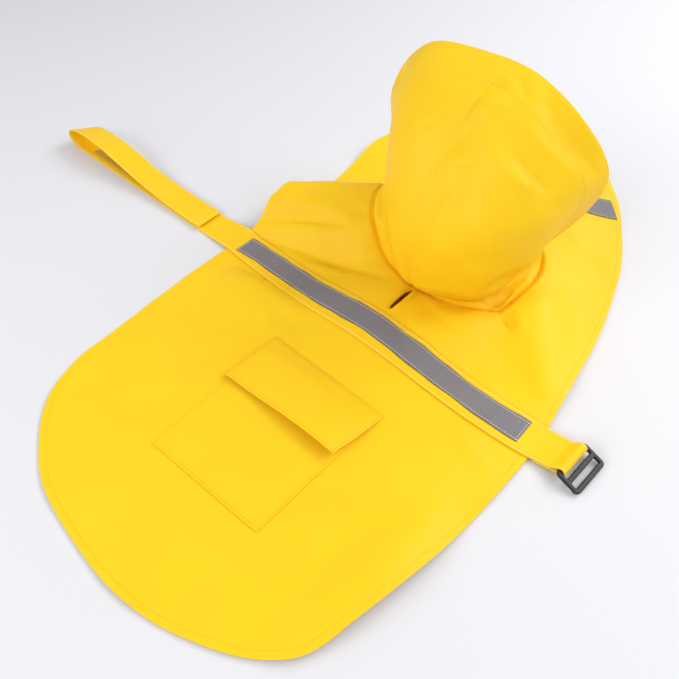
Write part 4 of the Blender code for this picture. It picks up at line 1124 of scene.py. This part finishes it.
acetal = new_material("black_acetal", {
    "Base Color": linear("#151417"), "Roughness": 0.36, "IOR": 1.48}, etched_grain)
nylon = new_material("hook_tape_nylon", {
    "Base Color": linear("#C9A93C"), "Roughness": 0.75}, hook_grain)
yellow_thread = sewing_thread("yellow_polyester_thread", "#F7C418")
pale_thread = sewing_thread("pale_polyester_thread", "#F0EDE6")
for piece, finish in (
    (body_shell, panel_cloth), (slit_edges_painted_shade, painted_shade_back), (hood_right, hood_cloth),
    (hood_left, hood_cloth), (strap_shell, strap_cloth), (pocket_patch, pocket_cloth),
    (flap_patch, pocket_cloth), (belt_tape, tape_fabric), (chest_tape, tape_fabric), (buckle, acetal),
):
    piece.data.materials.clear()
    piece.data.materials.append(finish)
print("materials:", len(bpy.data.materials))

# %% [markdown]
# ## Stitches
#
# A lockstitch shows as a row of short, plump dashes.  Geometry Nodes lay them: a line of points is
# resampled to the stitch pitch, one small bead of thread is set at each point, turned along the line
# and out of the cloth, and all are made real in the end.

# %% Tree of the stitches
def new_tree(name, source, sizes, seed):
    """A tree with named inputs, and its input sockets."""
    tree = bpy.data.node_groups.new(name, "GeometryNodeTree")
    face = tree.interface
    face.new_socket(source, in_out="INPUT", socket_type="NodeSocketGeometry")
    for size, value in sizes.items():
        face.new_socket(size, in_out="INPUT", socket_type="NodeSocketFloat").default_value = value
    face.new_socket("Seed", in_out="INPUT", socket_type="NodeSocketInt").default_value = seed
    face.new_socket("Material", in_out="INPUT", socket_type="NodeSocketMaterial")
    face.new_socket("Result", in_out="OUTPUT", socket_type="NodeSocketGeometry")
    return tree, add_node(tree, "NodeGroupInput").outputs


def end_tree(tree, given, placed):
    """Make the instances real, give them their material and hand them out."""
    real = add_node(tree, "GeometryNodeRealizeInstances", {"Geometry": placed})
    finish = add_node(tree, "GeometryNodeSetMaterial", {
        "Geometry": real, "Material": given["Material"]})
    add_node(tree, "NodeGroupOutput", {"Result": finish})


def grow(piece, tree, **inputs):
    """The piece made by a tree, whose inputs are set by their sockets' identifiers."""
    modifier = modify(piece, "NODES", node_group=tree)
    for item in tree.interface.items_tree:
        if item.in_out == "INPUT" and item.name in inputs:
            modifier[item.identifier] = inputs[item.name]
    return finished(piece)


PITCH, LENGTH = 3.0, 2.3
stitches, given = new_tree("stitches", "Line", {
    "Pitch": PITCH * MM, "Length": LENGTH * MM, "Thread": 0.45 * MM, "Wobble": 0.06}, seed=5)
curve = add_node(stitches, "GeometryNodeMeshToCurve", {"Mesh": given["Line"]})
spaced = add_node(stitches, "GeometryNodeResampleCurve", {
    "Curve": curve, "Length": given["Pitch"]}, mode="LENGTH")
bead = add_node(stitches, "GeometryNodeMeshUVSphere", {"Segments": 6, "Rings": 4, "Radius": 0.5})
smooth = add_node(stitches, "GeometryNodeSetShadeSmooth", {"Geometry": bead})
out = add_node(stitches, "GeometryNodeInputNamedAttribute", {"Name": "out"}, data_type="FLOAT_VECTOR")
turned = add_node(stitches, "FunctionNodeAlignRotationToVector", {
    "Vector": add_node(stitches, "GeometryNodeInputTangent")}, axis="X")
upright = add_node(stitches, "FunctionNodeAlignRotationToVector", {
    "Rotation": turned, "Vector": out}, axis="Z", pivot_axis="X")
chance = add_node(stitches, "FunctionNodeRandomValue", {"Seed": given["Seed"]}, data_type="FLOAT")
spread = add_node(stitches, "ShaderNodeMath", {
    0: chance, 1: given["Wobble"], 2: 1.0}, operation="MULTIPLY_ADD")
long_side = add_node(stitches, "ShaderNodeMath", {
    0: spread, 1: given["Length"]}, operation="MULTIPLY")
size = add_node(stitches, "ShaderNodeCombineXYZ", {
    "X": long_side, "Y": given["Thread"], "Z": given["Thread"]})
end_tree(stitches, given, add_node(stitches, "GeometryNodeInstanceOnPoints", {
    "Points": spaced, "Instance": smooth, "Rotation": upright, "Scale": size}))
print("inputs:", ", ".join(socket.name for socket in given if socket.name))

# %% Sewing
THREAD_RISE = 0.05 * MM     # how far a stitch's middle stands above the cloth
THREAD, TAPE_THREAD = 0.4, 0.6
LINE_STEP = 2.0             # between the points of a line that is sewn


def on_cloth(points, tree):
    """Places on a piece and the ways out of it: (x, y) is dropped on it, (x, y, z) is moved to it."""
    places, ways = [], []
    for point in points:
        if len(point) == 2:
            hit, way = tree.ray_cast(Vector((point[0] * MM, point[1] * MM, 1.0)), DOWN)[:2]
        else:
            hit, way = tree.find_nearest(Vector(point) * MM)[:2]
        if hit is not None:
            places.append(hit + way * THREAD_RISE)
            ways.append(way)
    return np.array(places), np.array(ways)


def sew(name, lines, thread, size=THREAD):
    """One piece of stitches along several lines of (places, ways out)."""
    ends = np.cumsum([len(places) for places, _ in lines])
    edges = [(i, i + 1) for i in range(ends[-1] - 1) if i + 1 not in ends]
    mesh = bpy.data.meshes.new(name)
    mesh.from_pydata(np.vstack([places for places, _ in lines]).tolist(), edges, [])
    ways = np.vstack([ways for _, ways in lines])
    layer = mesh.attributes.new("out", "FLOAT_VECTOR", "POINT")
    layer.data.foreach_set("vector", ways.astype(np.float32).ravel())
    return grow(add_piece(name, mesh), stitches, Pitch=PITCH * MM, Length=LENGTH * MM,
                Thread=size * MM, Material=thread)


print("a stitch is", LENGTH, "mm long, every", PITCH, "mm")

# %% Stitches of the body panel
def inset(line, distance):
    """A closed line moved inwards, to its left, by a distance."""
    run = np.roll(line, -1, axis=0) - np.roll(line, 1, axis=0)
    run /= np.linalg.norm(run, axis=1)[:, None]
    moved = line + np.column_stack([-run[:, 1], run[:, 0]]) * distance
    return np.vstack([moved, moved[:1]])


body_tree = tree_of(body_shell)
round_slit = slit_lens(SLIT_STITCH)
panel_stitches = sew("panel_stitches", [on_cloth(line, body_tree) for line in (
    inset(OUTLINE_FINE, PANEL_HEM), inset(NECK_FINE, -NECK_STITCH),
    np.vstack([round_slit, round_slit[:1]]))], yellow_thread)
print("panel stitches:", count_of(panel_stitches))

# %% Stitches of the hood
def hood_lines(piece, side):
    """The hem line behind the brim, and on the left half the topstitch beside the centre seam."""
    grid, normals = hood_surface(side)
    outer = grid + normals * SOLID_WALL
    rows, from_seam = along_grid(outer, 0), along_grid(outer, 1)
    from_brim = rows[-1] - rows
    hem = []
    for column, width in enumerate(hem_width(side, outer.shape[1])[:-3]):
        row = np.argmin(np.abs(from_brim[:, column] - width))
        towards = outer[row - 1, column] - outer[row, column]
        share = (width - from_brim[row, column]) / np.linalg.norm(towards)
        hem.append(outer[row, column] + towards * share)
    seam = [[np.interp(HOOD_TOPSTITCH, from_seam[row], axis) for axis in outer[row].T]
            for row in range(HOOD_FAN, outer.shape[0])]
    return [on_cloth(line, tree_of(piece)) for line in ((hem, seam) if side < 0 else (hem,))]


both_halves = hood_lines(hood_right, 1) + hood_lines(hood_left, -1)
hood_stitches = sew("hood_stitches", both_halves, yellow_thread)
print("hood stitches:", count_of(hood_stitches))

# %% Stitches of the strap and tapes
def belt_line(column, shift, start, end):
    """A line along the strap at a shift in y from one of its table's columns."""
    x = np.arange(start, end, -LINE_STEP)
    return np.column_stack([x, belt_at(x, column) + shift])


STRAP_STITCH, TAPE_STITCH = 2.6, 2.0            # from their edges
strap_tree, tape_tree, chest_tree = [tree_of(piece) for piece in (strap_shell, belt_tape, chest_tape)]
# Columns: edge, shift, first and last x
strap_stitches = sew("strap_stitches", [on_cloth(belt_line(*line), strap_tree) for line in (
    (LOW, STRAP_STITCH, 220, -256), (HIGH, -STRAP_STITCH, 220, -256),
    (LOW, STRAP_STITCH, -262, -530), (HIGH, -STRAP_STITCH, -262, -520))], yellow_thread)
half = TAPE_WIDTH / 2 - TAPE_STITCH
tape_lines = [on_cloth(belt_line(TAPE, shift, BELT_TAPE_FROM - 1, BELT_TAPE_TO + 1), tape_tree)
              for shift in (half, -half)]
for step in (TAPE_STITCH, TAPE_WIDTH - TAPE_STITCH):
    places = np.arange(CHEST_TAPE_RIGHT - 2, CHEST_TAPE_LEFT + 2, -LINE_STEP)
    tape_lines.append(on_cloth([chest_tape_point(x, step) for x in places], chest_tree))
for x in (BELT_TAPE_FROM - TAPE_STITCH, BELT_TAPE_TO + TAPE_STITCH):
    y = belt_at([x], TAPE)[0] + np.arange(-half, half + 0.1, LINE_STEP)
    tape_lines.append(on_cloth(np.column_stack([np.full(len(y), x), y]), tape_tree))
tape_stitches = sew("tape_stitches", tape_lines, pale_thread, size=TAPE_THREAD)
print("strap and tape stitches:", count_of(strap_stitches, tape_stitches))

# %% Stitches of the pocket
def patch_stitches(name, piece, corners, sides):
    """Straight lines inside a four-cornered patch, one for each side."""
    corners = np.array(corners, float)
    way = corners.mean(axis=0) - corners
    inner = corners + way / np.abs(way) * POCKET_STITCH
    lines = []
    for side in sides:
        start, end = inner[side], inner[(side + 1) % 4]
        lines.append(np.linspace(start, end, max(2, int(np.linalg.norm(end - start) / LINE_STEP))))
    return sew(name, [on_cloth(line, tree_of(piece)) for line in lines], yellow_thread)


pocket_stitches = patch_stitches("pocket_stitches", pocket_patch, POCKET_CORNERS, (3, 0, 1))
flap_stitches = patch_stitches("flap_stitches", flap_patch, FLAP_CORNERS, (0, 1, 2, 3))
print("pocket stitches:", count_of(pocket_stitches, flap_stitches))

# %% [markdown]
# ## Hook-and-loop patch
#
# Inside the folded strap end lies a strip of hook tape: a woven base with rows of tiny plastic hooks.
# Geometry Nodes set the hooks on a grid, a little unevenly.

# %% Hook-and-loop patch
PATCH_FROM, PATCH_TO = -392.0, -490.0
PATCH_WIDTH, PATCH_WALL = 25.0, 0.7
HOOK_SPACING, HOOK_HEIGHT, HOOK_MARGIN = 1.7, 1.1, 1.5
HOOK_SUNK = 0.1             # how far a hook's foot stands in the base

hooks, given = new_tree("hooks", "Base", {"Height": HOOK_HEIGHT * MM, "Thickness": 0.3 * MM}, seed=3)
hook = add_node(hooks, "GeometryNodeMeshCone", {
    "Vertices": 5, "Radius Top": 0.35, "Radius Bottom": 0.5, "Depth": 1.0})
lean = add_node(hooks, "FunctionNodeRandomValue", {
    0: (-0.3, -0.3, 0.0), 1: (0.3, 0.3, 0.0), "Seed": given["Seed"]}, data_type="FLOAT_VECTOR")
size = add_node(hooks, "ShaderNodeCombineXYZ", {
    "X": given["Thickness"], "Y": given["Thickness"], "Z": given["Height"]})
end_tree(hooks, given, add_node(hooks, "GeometryNodeInstanceOnPoints", {
    "Points": given["Base"], "Instance": hook, "Rotation": lean, "Scale": size}))


def patch_grid(x, across, z):
    """A level grid of points on the strap's free end."""
    middle = (belt_at([PATCH_FROM], LOW)[0] + belt_at([PATCH_FROM], HIGH)[0]) / 2
    level = np.full((len(x), len(across)), z)
    return np.dstack([*np.meshgrid(x, middle + across, indexing="ij"), level])


base_z = STRAP_WALL + GAP
base_grid = patch_grid(np.linspace(PATCH_FROM, PATCH_TO, 30),
                       np.linspace(-0.5, 0.5, 9) * PATCH_WIDTH, base_z)
hook_base = add_piece("hook_base", cloth_mesh("hook_base", base_grid), PATCH_WALL, round_edge=0.2)
hook_base.data.materials.append(nylon)
finished(hook_base)
hook_spots = patch_grid(
    np.arange(PATCH_FROM - HOOK_MARGIN, PATCH_TO + HOOK_MARGIN, -HOOK_SPACING),
    np.arange(-PATCH_WIDTH / 2 + HOOK_MARGIN, PATCH_WIDTH / 2 - 1.0, HOOK_SPACING),
    base_z + PATCH_WALL + HOOK_HEIGHT / 2 - HOOK_SUNK)
hook_mesh = bpy.data.meshes.new("hook_field")
hook_mesh.from_pydata((hook_spots.reshape(-1, 3) * MM).tolist(), [], [])
hook_field = grow(add_piece("hook_field", hook_mesh), hooks, Material=nylon)
print("hooks:", count_of(hook_field))

# %% [markdown]
# ## Table, light and background
#
# A pale table and three wide lights, as in a small product studio: one on the coat's right, one
# beyond its head end and one low at its tail.  With the room's soft white they leave pale, close
# shadows, and the steeper cloth turns a deeper yellow than the cloth that lies flat.

# %% Table, light and background
bpy.ops.mesh.primitive_plane_add(size=6.0, location=(0.0, 0.0, -0.0003))
floor = bpy.context.object
floor.name = "table_top"
floor.data.materials.append(new_material("matt_white_laminate", {
    "Base Color": linear("#DCDCDF"), "Roughness": 0.7, "Specular IOR Level": 0.2}))
# Columns: name, place, target, size, power
for name, spot, target, size, power in (
    ("key", (0.95, 0.75, 1.25), (0.0, 0.15, 0.0), (1.5, 1.1), 11.5),
    ("back", (0.40, 1.75, 1.35), (0.0, 0.2, 0.0), (1.3, 0.9), 18.0),
    ("front", (-0.45, -1.45, 0.85), (0.0, 0.1, 0.05), (1.6, 0.9), 18.5),
):
    light = aim(name, bpy.data.lights.new(name, "AREA"), spot, target).data
    light.shape = "RECTANGLE"
    light.size, light.size_y = size
    light.energy = power
bpy.context.scene.view_settings.view_transform = "Standard"
world = bpy.data.worlds.new("studio")
bpy.context.scene.world = world
world.use_nodes = True
background = world.node_tree.nodes["Background"]
background.inputs["Color"].default_value = linear("#F8F8FC")
background.inputs["Strength"].default_value = 0.59
print("lights: key, back and front, and the room's soft white")

# %% [markdown]
# ## Pieces on the coat's body
#
# Every piece rides on the coat's one rigid body, and the solid that it stands for is hidden.

# %% Pieces on the coat's body
# Columns: piece, the solid it replaces, slot
PIECES = (
    (body_shell, "body_panel", "coated_cloth"),
    (hood_right, "hood_right", "coated_cloth"),
    (hood_left, "hood_left", "coated_cloth"),
    (strap_shell, "belly_strap", "coated_cloth"),
    (belt_tape, "belt_tape", "reflective_tape"),
    (chest_tape, "chest_tape", "reflective_tape"),
    (pocket_patch, "pocket", "coated_cloth"),
    (flap_patch, "pocket_flap", "coated_cloth"),
    (hook_base, "hook_patch", "hook_fastener"),
    (buckle, "buckle", "black_plastic"),
    (slit_edges_painted_shade, None, "coated_cloth"),
    (panel_stitches, None, "coated_cloth"),
    (hood_stitches, None, "coated_cloth"),
    (strap_stitches, None, "coated_cloth"),
    (tape_stitches, None, "reflective_tape"),
    (pocket_stitches, None, "coated_cloth"),
    (flap_stitches, None, "coated_cloth"),
    (hook_field, None, "hook_fastener"),
)
for piece, solid, slot in PIECES:
    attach(piece, "root")
    if solid:
        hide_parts(solid)
